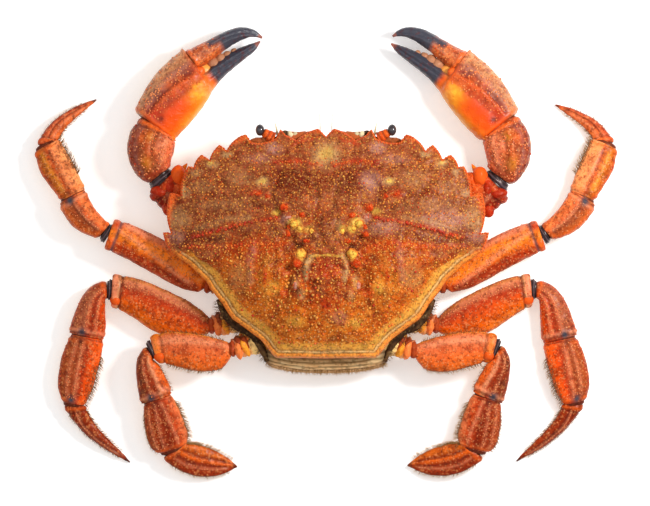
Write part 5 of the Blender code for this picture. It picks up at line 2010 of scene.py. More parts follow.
REAR_CARPUS = Plan(
    (
        (0, 3.2, 2.6, 3.2, 3.2), (0.15, 4.2, 2.9, 3.9, 3.7), (0.45, 7.1, 4.4, 4.4, 4),
        (0.8, 8, 6.8, 4.2, 3.8), (1, 7.7, 7.4, 3.9, 3.6),
    ),
    limb_shell(
        "Rear carpus", (0, "#e85c10"), (0.2, "#dc5a1c"), (0.3, "#d88c60"), (0.4, "#a83006"), (0.6, "#842404"),
        (0.72, "#762810"), (0.85, "#6c3624"), (1, "#943218"),
    ),
    turn_in=-66, turn_out=10,
    marks=(
        Stripe((-0.38, -0.4), 0.9, 0.4, "pink", 0.55, (0.1, 0.93)),
        Stripe((0.25, 0.2), 0.7, 0.3, "pink", 0.25, (0.1, 0.93)),
        Stripe((-0.1, -0.1), 0.8, -0.3, "dark", 0.35, (0.1, 0.93)), *suture(0.955, -0.06, "pink"),
        Ring(0.06, 0.7, 0.3, "orange", 0.5), Spot(0.92, 0.3, 1.6, -0.2, "slate", 0.9),
    ),
    rows=(
        BeadRow((-0.38, -0.4), 0.34, 0.22, (0.1, 0.92), 1.3),
        BeadRow((0.25, 0.2), 0.34, 0.3, (0.1, 0.92), 1.4),
        BeadField((-0.85, 0.85), (0.08, 0.9), 0.27, 0.4, 2),
    ),
    fringes=(Fringe(-0.97, (0.3, 0.97), 1.8, 0.6, 0.4, 0.3),),
)
REAR_PROPODUS = Plan(
    (
        (0, 7.2, 6.2, 3.8, 3.6), (0.25, 8.6, 8.2, 4.2, 3.8), (0.5, 9, 9.5, 4.2, 3.8),
        (0.85, 8.8, 9.4, 3.6, 3.4), (1, 6, 6.4, 3, 3),
    ),
    limb_shell(
        "Rear propodus", (0, "#e47d4a"), (0.12, "#dc6334"), (0.25, "#bc3a0e"), (0.5, "#8e2406"),
        (0.8, "#902c0c"), (1, "#a4421c"),
    ),
    marks=(
        Stripe((-0.2, -0.4), 0.8, 0.35, "pink", 0.5, (0.06, 0.93)),
        Stripe((0.25, 0.4), 0.7, 0.3, "pink", 0.35, (0.06, 0.93)),
        Stripe((0.7, 0.72), 0.7, 0.3, "pink", 0.3, (0.1, 0.93)),
        Stripe((0, 0), 1.2, -0.3, "dark", 0.35, (0.06, 0.93)), Ring(0.03, 0.5, -0.3, "dark", 0.5),
        Ring(0.95, 0.7, 0.35, "orange", 0.5), Spot(0.07, 0.2, 1.6, -0.2, "dark", 0.9),
        Spot(0.95, 0.1, 1.6, -0.2, "dark", 0.6),
    ),
    rows=(
        BeadRow((-0.2, -0.4), 0.32, 0.22, (0.06, 0.92), 1.3),
        BeadRow((0.25, 0.4), 0.32, 0.25, (0.06, 0.92), 1.4),
        BeadRow((0.7, 0.72), 0.32, 0.25, (0.1, 0.92), 1.4),
        BeadField((-0.85, 0.9), (0.08, 0.92), 0.26, 0.4, 2),
    ),
    fringes=(
        Fringe(-0.97, (0.15, 0.98), 3, 0.4, 0.4, 0.2, 3), Fringe(0.97, (0.2, 0.98), 1.6, 0.6, 0.4, 0.3)
    ),
)
REAR_DACTYL = Plan(
    (
        (0, 6.4, 6.4, 2.4, 2.4), (0.17, 8.1, 5.8, 2.4, 2.4), (0.4, 8.6, 5.9, 2.2, 2.2),
        (0.62, 7.4, 5.4, 1.8, 1.8), (0.82, 4.4, 3.4, 1.2, 1.2), (1, 0.3, 0.3, 0.25, 0.25),
    ),
    limb_shell(
        "Rear dactyl", (0, "#c05014"), (0.15, "#d05e10"), (0.3, "#8c2a06"), (0.4, "#d8580e"),
        (0.5, "#841c04"), (0.6, "#983410"), (0.8, "#982c0c"), (1, "#882810"),
    ),
    turn_in=-40, turn_out=8,
    marks=(
        Stripe((-0.2, -0.15), 0.6, 0.4, "orange", 0.6, (0.06, 0.9)),
        Stripe((-0.42, -0.35), 0.6, -0.3, "dark", 0.35, (0.1, 0.85)),
        Stripe((0.08, 0.1), 0.6, -0.3, "dark", 0.4, (0.08, 0.88)),
        Stripe((0.4, 0.35), 0.5, 0.25, "pink", 0.35, (0.08, 0.85)), Ring(0.04, 0.7, 0.3, "orange", 0.5),
        Stripe((0, 0), 9, 0, "dark", 0.85, (0.93, 1.05), all_round=True),
    ),
    rows=(BeadRow((-0.2, -0.15), 0.24, 0.3, (0.06, 0.8), 1.5),),
    fringes=(
        Fringe(-0.97, (0.06, 0.9), 2.4, 0.4, 0.6, 0.15, 3), Fringe(0.97, (0.1, 0.9), 1.8, 0.5, 0.6, 0.25)
    ),
    pointed=True,
)
LEG_PLANS: dict[LegKind, dict[str, Plan]] = {
    LegKind.FRONT: {
        "base": Plan(((0, 7, 6.6, 5, 5), (1, 5.4, 5, 4.2, 3.8)), **HIP_SHELL), "merus": FRONT_MERUS,
        "membrane": LEG_SKIN, "carpus": FRONT_CARPUS, "propodus": FRONT_PROPODUS, "dactyl": FRONT_DACTYL,
    },
    LegKind.MIDDLE: {
        "base": Plan(((0, 7.4, 7, 5, 5), (1, 5.2, 4.6, 4.2, 3.8)), **HIP_SHELL), "merus": MIDDLE_MERUS,
        "membrane": LEG_SKIN, "carpus": MIDDLE_CARPUS, "propodus": MIDDLE_PROPODUS, "dactyl": MIDDLE_DACTYL,
    },
    LegKind.REAR: {
        "base": Plan(((0, 7.2, 6.6, 4.8, 4.6), (1, 5, 4.4, 3.8, 3.4)), **HIP_SHELL), "merus": REAR_MERUS,
        "membrane": LEG_SKIN, "carpus": REAR_CARPUS, "propodus": REAR_PROPODUS, "dactyl": REAR_DACTYL,
    },
}

# ---------------- claw plans

# As in the leg plans, stripes and rings sunk and washed dark are painted shade in their grooves, as are the
# claws' deeper pits washed dark, and raised lengthwise stripes washed pink carry a painted highlight along
# their crests.
CLAW_MERUS = Plan(
    (
        (0, 5.8, 5.8, 5.4, 5.4), (0.3, 8, 8.4, 6.8, 6.8), (0.7, 8.6, 9.4, 7.2, 7.2), (0.9, 8.9, 10, 7.2, 7.2),
        (1, 9.6, 9.6, 6.8, 6.8),
    ),
    limb_shell("Claw merus", (0, "#e85404"), (0.3, "#b01c04"), (0.6, "#6a0804"), (1, "#8c1804")), turn_out=10,
    marks=(
        Ring(0.9, 0.9, -0.6, "dark", 0.8), Ring(0.95, 1.2, 0.4, "red", 0.5),
        Stripe((0.3, 0.35), 1, 0.4, "pink", 0.35, (0.1, 0.9)), Spot(0.8, -0.5, 5, 0.6, "orange", 0.7),
        Spot(0.93, 0.2, 2, 0.3, "orange", 0.6),
    ),
    rows=(
        BeadField((-0.85, 0.85), (0.1, 0.9), 0.34, 0.6, 2), BeadRow((0.9, 0.9), 0.45, 0.8, (0.1, 0.95), 1.6)
    ),
)
CLAW_MEMBRANE = Plan(
    ((0, 6, 6.6, 5.6, 5.6), (1, 5.6, 6, 5.4, 5.4)), SOFT_SKIN, marks=LEG_SKIN.marks, lumpiness=0.25
)
CLAW_CARPUS = Plan(
    (
        (0, 6.4, 6, 6.6, 6.6), (0.2, 8.2, 9, 8.8, 8.4), (0.5, 10.4, 11.1, 10, 9.4),
        (0.8, 10.4, 10.5, 9.6, 9.2), (1, 9.6, 8.4, 8.2, 8.2),
    ),
    limb_shell(
        "Claw carpus", (0, "#f06a3c"), (0.15, "#e46e42"), (0.3, "#c86240"), (0.5, "#b0502c"),
        (0.75, "#a24624"), (0.92, "#8e3a24"), (1, "#7c301c"),
    ),
    turn_in=-37, turn_out=37,
    marks=(
        Stripe((-0.45, -0.6), 1.4, 0.4, "pink", 0.5, (0.2, 0.9)),
        Stripe((0.3, 0.2), 1.4, 0.6, "orange", 0.2, (0.15, 0.9)), Spot(0.3, 0.3, 2.6, 0.4, "yellow", 0.35),
        Spot(0.7, 0.5, 2.2, 0.4, "orange", 0.5), Spot(0.45, 0, 3, 0.5, "orange", 0.4),
        Stripe((0.1, -0.1), 1, -0.6, "dark", 0.6, (0.1, 0.85)),
        Stripe((0.72, 0.65), 1.2, -0.3, "mauve", 0.5, (0.15, 0.9)), Ring(0.93, 0.8, 0.5, "orange", 0.9),
        Ring(0.88, 0.6, -0.4, "dark", 0.5), Ring(0.08, 0.9, 0.3, "red", 0.4),
        Spot(0.35, -0.1, 2.2, -0.3, "dark", 0.45), Spot(0.55, 0.45, 2, -0.3, "dark", 0.45),
        Spot(0.62, -0.3, 2.2, 0.3, "pink", 0.4), Spot(0.12, 0, 5, 0, "dark", 0.5),
        Spot(0.75, 0.1, 2, 0.2, "yellow", 0.3),
    ),
    lumpiness=0.34,
    rows=(
        BeadField((-0.9, 0.9), (0.06, 0.93), 0.46, 0.42, 1.5),
        BeadRow((0.9, 0.92), 0.55, 0.75, (0.1, 0.93), 1.7),
        BeadRow((-0.45, -0.6), 0.42, 0.25, (0.2, 0.9), 1.5),
    ),
)
CLAW_PALM = Plan(
    (
        (0, 11.4, 8.6, 8.4, 8.4), (0.04, 13.2, 10.2, 9.2, 9.2), (0.1, 13.5, 11.4, 9.8, 9.6),
        (0.2, 13.3, 13.4, 10, 9.8), (0.3, 12.3, 14.9, 9.9, 9.7), (0.4, 10.5, 15.8, 9.4, 9.2),
        (0.48, 8.3, 16.3, 8.8, 8.6), (0.505, 7.5, 15.8, 8.4, 8.2), (0.52, 7.1, 4.2, 6.4, 6.4),
        (0.62, 4.8, 3, 5, 5), (0.72, 3.5, 3.8, 4.6, 4.6), (0.83, 2.7, 3.2, 3.7, 3.7),
        (0.93, 2, 1.8, 2.4, 2.4), (1, 0.4, 0.4, 0.5, 0.5),
    ),
    limb_shell(
        "Claw palm", (0, "#ee8020"), (0.2, "#e65204"), (0.38, "#de4404"), (0.5, "#cc4410"), (0.62, "#b84420"),
        (0.7, "#903826"), (0.77, "#a4583c"), (0.85, "#c48050"), (1, "#d8986a"), roughness=0.36, specular=0.2,
        coat=0.05, sheen="#ffffff",
    ),
    turn_in=-16,
    marks=(
        Stripe((0.3, 0.2), 1.1, 0.5, "orange", 0.6, (0.04, 0.48)),
        Stripe((0.42, 0.34), 0.8, -0.4, "dark", 0.5, (0.04, 0.47)),
        Stripe((0, -0.05), 1.1, -0.3, "dark", 0.35, (0.06, 0.4)),
        Stripe((0.62, 0.6), 1, 0.35, "pink", 0.35, (0.06, 0.45)),
        Stripe((-0.85, -0.6), 11, 0, "smooth", 1, (-0.02, 0.56)),
        Stripe((-1, -0.95), 2.2, 0.2, "yellow", 0.6, (0.14, 0.5)), Spot(0.42, -0.4, 5.4, 0.25, "yellow", 0.9),
        Spot(0.47, -0.75, 3.6, 0, "cream", 0.2), Stripe((-1, -1), 1.3, 0, "cream", 0.35, (0.18, 0.5)),
        Stripe((0.66, 0.6), 1.6, 0, "mauve", 0.4, (0.05, 0.5)), Ring(0.5, 1.5, 0, "orange", 0.4),
        # The red and dark spots sunk into the palm's near end are painted shade in the hollow below the
        # carpus's edge.
        Spot(0.07, 0.1, 3.4, -0.6, "red", 0.8), Spot(0.06, -0.15, 1.8, -0.5, "dark", 0.8),
        Spot(0.2, 0.05, 2.6, -0.3, "dark", 0.35), Spot(0.34, 0.02, 2.2, -0.2, "red", 0.5),
        Spot(0.15, 0.45, 3.2, -0.5, "dark", 0.5), Spot(0.28, 0.4, 2.4, 0.4, "orange", 0.6),
        Spot(0.4, 0.5, 2.6, -0.4, "dark", 0.35), Spot(0.36, 0.3, 2.4, 0.5, "orange", 0.6),
        Ring(0.02, 0.9, 0.4, "orange", 0.7),
        Stripe((0, 0), 12, 0, "slate", 0.92, (0.575, 1.1), all_round=True),
        Stripe((-0.2, -0.1), 0.6, -0.4, "dark", 0.6, (0.56, 0.95)),
        Stripe((0.35, 0.3), 0.6, 0.4, "mauve", 0.4, (0.56, 0.95)),
        Stripe((0, 0), 9, 0, "tip", 0.7, (0.955, 1.1), all_round=True),
    ),
    rows=(
        BeadRow((0.3, 0.2), 0.55, 0.62, (0.04, 0.46), 1.5), BeadRow((0.62, 0.6), 0.5, 0.3, (0.06, 0.44), 1.6),
        BeadRow((0.94, 0.95), 0.55, 0.35, (0.04, 0.46), 1.7),
        BeadField((0.4, 0.95), (0.04, 0.48), 0.46, 0.28, 1.45),
        BeadField((-0.1, 0.4), (0.03, 0.48), 0.44, 0.5, 1.35),
    ),
    pointed=True,
)
CLAW_FINGER = Plan(
    (
        (0, 5.6, 4.6, 6.2, 6), (0.15, 6, 3.8, 6, 5.8), (0.3, 5.5, 3.1, 5.2, 5.2), (0.5, 4.3, 3.2, 4.4, 4.4),
        (0.7, 2.8, 3.2, 3.5, 3.5), (0.87, 1.2, 2.2, 2.4, 2.4), (1, 0.4, 0.7, 0.5, 0.5),
    ),
    limb_shell(
        "Claw finger", (0, "#d85a20"), (0.3, "#e07636"), (0.6, "#b85a30"), (1, "#c45018"), roughness=0.3,
        specular=0.3, coat=0.1, sheen="#ffffff",
    ),
    turn_in=-18, turn_out=50,
    marks=(
        Stripe((0, 0), 12, 0, "slate", 0.95, (0.42, 1.1), all_round=True),
        Stripe((0.5, 0.5), 2, 0, "slate", 0.7, (0.26, 0.6)), Ring(0.41, 1.6, -0.1, "mauve", 0.7),
        Stripe((0.15, 0.2), 0.6, -0.4, "dark", 0.6, (0.3, 0.92)),
        Stripe((-0.35, -0.3), 0.6, 0.35, "mauve", 0.45, (0.2, 0.9)),
        Stripe((0, 0), 9, 0, "tip", 0.75, (0.94, 1.1), all_round=True), Ring(0.03, 0.8, 0.4, "orange", 0.8),
    ),
    rows=(
        BeadField((-0.9, 0.9), (0.05, 0.36), 0.42, 0.45, 1.6),
        BeadRow((-0.5, -0.4), 0.45, 0.6, (0.04, 0.4), 1.5),
    ),
    pointed=True,
)
CLAW_PLANS: dict[str, Plan] = {
    "base": Plan(((0, 6, 6, 5.4, 5.4), (1, 5.6, 5.6, 5.2, 5.2)), **HIP_SHELL), "merus": CLAW_MERUS,
    "membrane": CLAW_MEMBRANE, "carpus": CLAW_CARPUS, "palm": CLAW_PALM, "finger": CLAW_FINGER,
}


# ---------------- limb chains


@dataclass
class Limb:
    """A limb as a chain of segments from its root, laid out for the side at +X."""

    name: str
    side: Side
    root: Triple
    reaches: dict[str, Reach]
    outer_side: int
    plans: dict[str, Plan]
    start_gaps: dict[str, float]
    end_gaps: dict[str, float]

    def segments(self) -> dict[str, Segment]:
        """The segments that have a plan, by name."""
        joint = np.array(self.root)
        made = {}
        for part, reach in self.reaches.items():
            slope = math.degrees(math.asin(reach.rise / reach.length))
            way = heading_vector(reach.heading, slope)
            end = joint + way * reach.length
            if part in self.plans:
                plan = self.plans[part]
                ends = joint + way * self.start_gaps[part], end - way * self.end_gaps[part]
                line = MiddleLine(*ends, -self.outer_side * plan.turn_in, -self.outer_side * plan.turn_out)
                made[part] = Segment(f"{self.name}_{part}", line, plan, self.outer_side)
            joint = end
        return made

    def beside(self, segment: Segment, t: float, outward: float, upward: float) -> Array:
        """The point this far outward and upward of a segment's middle line at share t."""
        _, left, up = segment.line.axes(np.array([t]))
        return segment.line.point(np.array([t]))[0] + left[0] * self.outer_side * outward + up[0] * upward

    def extras(self, part: str, segment: Segment) -> list[Surface]:
        """Knobs, teeth and spines that a segment carries, none on a plain one."""
        return []

    def build(self, growth: Growth) -> None:
        """Makes the segments and hands their beads and bristles on.

        Args:
            growth: What collects the beads and bristles.
        """
        for part, segment in self.segments().items():
            self.make(part, segment, growth)

    def make(self, part: str, segment: Segment, growth: Growth) -> None:
        """Makes one segment.

        Args:
            part: The segment's name in the limb.
            segment: The segment.
            growth: What collects its beads and bristles.
        """
        growth.take(segment, self.side)
        slot = {"membrane": Slot.MEMBRANE, "finger": Slot.FINGER}.get(part, Slot.LIMB)
        parts = [segment.shell(), *self.extras(part, segment)]
        if part in ("carpus", "propodus"):
            parts.append(segment.joint_skin())
        surface = on_side(Surface.joined(parts), self.side)
        surface.build(f"{segment.name}_crust", segment.plan.finish.material(), slot, segment.name)


@dataclass
class Leg(Limb):
    """A walking leg with a lobed hip, and on the two rear pairs a knob beside the merus's far joint."""

    knob: Triple | None = None
    knob_radius: float = 2.6
    lobe_fan: float = 70
    lobe_upright: float = 0.7
    lobes: tuple[tuple[float, float, float, Triple, dict[str, float]], ...] = (
        (0.43, -2.6, 2.2, (3.8, 4.6, 3.4), {"yellow": 0.55, "cream": 0.7}),
        (0.5, 2.6, 1.4, (3.2, 3.8, 3), {"yellow": 0.7, "pink": 0.3}),
        (0.62, 0.4, 2.5, (1.8, 4.4, 3), {"red": 0.9, "dark": 0.45}),
        (0.7, -1.6, 2.7, (1.9, 4.2, 3.3), {"orange": 0.4, "yellow": 0.8}),
        (0.8, 1.4, 2.4, (1.7, 3.8, 3.1), {"red": 0.9, "dark": 0.55}),
        (0.89, -0.9, 2.3, (2.1, 4.3, 3.3), {"orange": 0.7, "pink": 0.6}),
        (1.03, 0.6, 1.2, (2.2, 3.9, 3.4), {"red": 0.9, "dark": 0.35}),
    )

    def extras(self, part: str, segment: Segment) -> list[Surface]:
        """The lobes of the hip, or the knob that the next joint turns on."""
        if part == "base":
            way = segment.line.end - segment.line.start
            found = []
            for t, *shift, radii, masks in self.lobes:
                leaning = turned(way, self.lobe_fan * (t - self.lobe_upright))
                place = self.beside(segment, t, *shift)
                found.append(ball(place, radii, 0.2, leaning, tone=0.3, smooth=0.5, **masks))
            return found
        if part != "merus" or self.knob is None:
            return []
        radii = (self.knob_radius, self.knob_radius, self.knob_radius * 1.1)
        place = self.beside(segment, *self.knob)
        return [ball(place, radii, 0.05, tone=0.3, smooth=1, orange=1, red=0.35)]


@dataclass
class Claw(Limb):
    """A claw arm, with its fixed finger on the palm and the movable finger beside it."""

    finger_length: float = 33.0
    finger_turn: float = 18.0
    finger_rise: float = -2.0
    palm_turn: float = -14.5
    hinge_along: float = 35.8
    hinge_outward: float = 4.0
    hinge_overlap: float = 1.0
    molar_swell: float = 1.4
    hinge_knob: Triple = (0.51, 3.6, 5.4)
    hinge_radius: float = 2.5
    gap_lump: Triple = (0.535, 3, -0.4)
    gap_radii: Triple = (5.6, 4.4, 4.8)
    molars: tuple[tuple[float, float, float, float], ...] = ()
    lumps: tuple[tuple[float, float, float, Triple, dict[str, float]], ...] = (
        (0.93, -6.8, 5.2, (3.6, 4.6, 3.6), {"tone": 0.05, "orange": 1, "smooth": 1, "red": 0.3}),
        (0.8, -8, 4, (3.6, 4, 3.4), {"tone": 0.3, "orange": 0.5}),
        (0.95, 4.6, 4.6, (4.6, 2.6, 3.2), {"tone": 0.5, "red": 0.7, "dark": 0.2}),
        (0.9, 0, 5.6, (2.6, 3, 2.6), {"tone": 0.4, "red": 0.6, "dark": 0.15}),
        (0.76, 8, 3.6, (3, 3.4, 3), {"tone": 0.4, "red": 0.5}),
    )
    spines: dict[str, tuple[Triple, Triple]] = field(
        default_factory=lambda: {
            "carpus": ((0.9, -7.6, 3.6), (1.12, -9.4, 5)),
            "merus": ((0.92, -7, 2), (0.95, -13.6, 2.4)),
        }
    )

    def extras(self, part: str, segment: Segment) -> list[Surface]:
        """The palm's hinge knob and molars, or the spine of a lower segment."""
        if part in self.spines:
            root, tip = (self.beside(segment, *end) for end in self.spines[part])
            lumps = self.lumps if part == "merus" else ()
            found = [spine(root, tip, 2.0, tone=0.2, orange=0.7, yellow=0.6)]
            for t, outward, upward, radii, masks in lumps:
                found.append(ball(self.beside(segment, t, outward, upward), radii, 0.1, **masks))
            return found
        if part != "palm":
            return []
        knob = self.beside(segment, *self.hinge_knob)
        found = [ball(knob, (self.hinge_radius,) * 3, 0.08, tone=0.4, orange=0.8)]
        gap = self.beside(segment, *self.gap_lump)
        found.append(ball(gap, self.gap_radii, 0.1, tone=0.1, smooth=1, yellow=0.5, cream=0.2))
        for t, outward, upward, radius in self.molars:
            middle = self.beside(segment, t, outward, upward)
            radius *= self.molar_swell
            radii = (radius, radius * 0.95, radius * 0.9)
            found.append(ball(middle, radii, 0.1, tone=0.9, smooth=1, mauve=0.3, dark=0.1))
        return found

    def build(self, growth: Growth) -> None:
        """Makes the arm and then the movable finger.

        Args:
            growth: What collects the beads and bristles.
        """
        made = self.segments()
        for part, segment in made.items():
            self.make(part, segment, growth)
        heading = self.reaches["palm"].heading
        forward = heading_vector(heading + self.palm_turn)
        outward = heading_vector(heading + self.palm_turn - 90)
        along = self.hinge_along - self.hinge_overlap
        root = made["palm"].line.start + forward * along + outward * self.hinge_outward
        slope = math.degrees(math.asin(self.finger_rise / self.finger_length))
        length = self.finger_length + self.hinge_overlap
        tip = root + heading_vector(heading + self.finger_turn, slope) * length
        plan = CLAW_PLANS["finger"]
        line = MiddleLine(root, tip, plan.turn_in, plan.turn_out)
        self.make("finger", Segment(f"{self.name}_finger", line, plan, self.outer_side), growth)


LEG_PARTS = ("base", "merus", "membrane", "carpus", "propodus", "dactyl")
LEG_START_GAPS = dict(zip(LEG_PARTS, (0, 0, -0.2, 0.1, 0, 0.6)))
LEG_END_GAPS = dict(zip(LEG_PARTS, (1.2, 0, -0.2, 0.1, 0.3, 0)))
CLAW_PARTS = ("base", "merus", "membrane", "carpus", "wrist", "palm")
CLAW_START_GAPS = dict(zip(CLAW_PARTS, (0.6, 0.2, -0.6, 0.2, 0, -0.6)))
CLAW_END_GAPS = dict(zip(CLAW_PARTS, (0.3, 0, -0.4, -0.4, 0, 0)))
LEG_LAYOUT: dict[LegKind, tuple[int, Triple | None]] = {
    LegKind.FRONT: (-1, None), LegKind.MIDDLE: (1, (0.955, -4.4, 1.9)), LegKind.REAR: (1, (0.945, -3.6, 1.9))
}
LEG_ROUTES: dict[tuple[LegKind, Side], tuple[Triple, ...]] = {
    (LegKind.FRONT, Side.RIGHT): (
        (39.1, -11.5, 11), (16, -13.7, 0.5), (50.4, 26.7, 1), (2.4, 32, 0), (23.6, 45.8, -2),
        (26.8, 66.5, -4), (29.2, 141.5, -5),
    ),
    (LegKind.FRONT, Side.LEFT): (
        (40.1, -11.5, 11), (16, -13.7, 0.5), (50.4, 27.4, 1), (2.4, 34, 0), (21.8, 49.2, -2),
        (26.7, 62.1, -4), (31.3, 137.1, -5),
    ),
    (LegKind.MIDDLE, Side.RIGHT): (
        (34.1, -28.4, 9), (18.4, -20.6, -0.4), (46.9, 21.1, -0.4), (2.2, 0, 0), (25.6, -64, -0.8),
        (30.2, -78.5, -2.4), (37.7, -134.5, -4),
    ),
    (LegKind.MIDDLE, Side.LEFT): (
        (35.7, -28.4, 9), (18.8, -21, -0.4), (48.9, 20.2, -0.4), (2.2, 4, 0), (23.6, -66, -0.8),
        (32, -80, -2.4), (37.2, -133.8, -4),
    ),
    (LegKind.REAR, Side.RIGHT): (
        (26.1, -39.2, 14), (16.6, -26, 1.2), (37, 2.1, -1.4), (1.8, -20, 0), (23, -102, -3),
        (25, -105.5, -3.6), (31.8, -166.3, -5.2),
    ),
    (LegKind.REAR, Side.LEFT): (
        (28.7, -38.4, 14), (16.8, -26.5, 1.2), (36.2, 0.4, -1.4), (2, -24, 0), (22.6, -98, -3),
        (24.9, -108.4, -3.6), (31.2, -164.9, -5.2),
    ),
}
CLAW_ROUTES: dict[Side, tuple[Triple, ...]] = {
    Side.RIGHT: (
        (37.1, 4.2, 12), (8.2, 34.4, 0), (41, 33.6, 1), (3.4, 47, 0), (23.6, 90.2, -0.5), (2, 50, 0),
        (63.4, 144.3, -3.4),
    ),
    Side.LEFT: (
        (36.3, 4.2, 12), (8.2, 34.4, 0), (39.8, 36.2, 1), (3.2, 50, 0), (22.2, 88.8, -0.5), (3.9, 37.7, 0),
        (63, 143.2, -3.4),
    ),
}
CLAW_FINGERS: dict[Side, Pair] = {Side.RIGHT: (32.8, 16.6), Side.LEFT: (33.4, 20)}
CLAW_MOLARS: dict[Side, tuple[tuple[float, float, float, float], ...]] = {
    Side.RIGHT: ((0.635, 3.4, 1.4, 2.2), (0.69, 3.3, 1.2, 2), (0.745, 3.2, 1, 1.5), (0.8, 3, 0.6, 1.1)),
    Side.LEFT: ((0.63, 3.4, 1.4, 2.1), (0.69, 3.4, 1.3, 1.9), (0.745, 3.2, 1, 1.5), (0.8, 3, 0.6, 1.2)),
}


def build_limbs() -> None:
    """Makes the walking legs and the claws, and then what grows on them."""
    growth = Growth()
    for (kind, side), (root, *steps) in LEG_ROUTES.items():
        outer_side, knob = LEG_LAYOUT[kind]
        reaches = {part: Reach(*step) for part, step in zip(LEG_PARTS, steps)}
        name = f"leg_{kind.value}_{side.word}"
        gaps = LEG_START_GAPS, LEG_END_GAPS
        Leg(name, side, root, reaches, outer_side, LEG_PLANS[kind], *gaps, knob).build(growth)
    for side, (root, *steps) in CLAW_ROUTES.items():
        reaches = {part: Reach(*step) for part, step in zip(CLAW_PARTS, steps)}
        gaps = CLAW_START_GAPS, CLAW_END_GAPS
        claw = Claw(f"claw_{side.word}", side, root, reaches, -1, CLAW_PLANS, *gaps, *CLAW_FINGERS[side])
        claw.molars = CLAW_MOLARS[side]
        claw.build(growth)
    growth.build()


# ---------------- body


@dataclass
class Body:
    """The breast plate and flanks under the carapace, with the grooves between their plates."""

    levels: tuple[tuple[float, float, float, float], ...] = (
        (4.7, 26, 21, 40), (9, 31, 29, 43), (15, 34, 41, 44.5), (20.6, 39, 47, 45)
    )
    squareness: float = 2.6
    columns: int = 220
    rows: int = 34
    ring_shares: tuple[float, ...] = (0.06, 0.15, 0.25, 0.36, 0.47, 0.58, 0.68, 0.78, 0.87, 0.94)

    def shell(self) -> Surface:
        """The body, with the grooves between its plates.

        Returns:
            The body's surface.
        """
        angles = np.arange(self.columns) * 2 * math.pi / self.columns
        cos, sin = np.cos(angles), np.sin(angles)
        power = 2 / self.squareness
        across = np.sign(cos) * np.abs(cos) ** power
        forward = np.sign(sin) * np.abs(sin) ** power
        heights = np.linspace(self.levels[0][0], self.levels[-1][0], self.rows)
        sizes = np.array(self.levels)
        width, front, rear = (np.interp(heights, sizes[:, 0], sizes[:, i]) for i in (1, 2, 3))
        reach = np.where(forward > 0, front[:, None], rear[:, None])
        wall = np.stack([across * width[:, None], forward * reach, heights[:, None] + 0 * across], 2)
        below = [wall[0] * (share, share, 1) for share in self.ring_shares]
        rings = np.concatenate([np.array(below), wall])
        flat = rings.reshape(-1, 3)
        plate = 9.0
        groove = bell((flat[:, 1] + 4.0) % plate, plate / 2, 0.7) * (np.abs(flat[:, 0]) > 6)
        groove = np.maximum(groove, bell(flat[:, 0], 0.0, 0.9))
        inward = unit(flat * (1, 1, 0)) * 0.7 * groove[:, None]
        lifted = flat - inward + (0, 0, 0.5) * groove[:, None]
        rough = 0.2 * RELIEF_NOISE.at(flat, 3.0, 2)[:, None] * unit(flat * (1, 1, 0))
        lifted = lifted + rough
        lifted[:, 2] = np.clip(lifted[:, 2], self.levels[0][0], self.levels[-1][0])
        made = closed_tube(lifted.reshape(rings.shape))
        high = fade(flat[:, 2], 9.0, 14.0)
        masks = {"tone": 0.5 + 0.3 * COLOUR_NOISE.at(flat, 8.0, 3)}
        # The grooves between the plates are painted darker as shade; the body also turns darker and more
        # orange towards the top.
        masks["dark"] = np.maximum(groove * 0.5, high * 0.55)
        masks["orange"] = 0.6 * fade(COLOUR_NOISE.at(flat + 60, 6.0, 2), 0.1, 0.5) * high
        made.masks = {name: np.append(mask, (0.5, 0.5)) for name, mask in masks.items()}
        return made

    def build(self) -> None:
        """Makes the body."""
        self.shell().build("body_crust", UNDERSIDE_SHELL.material(), Slot.UNDERSIDE, "sternum")


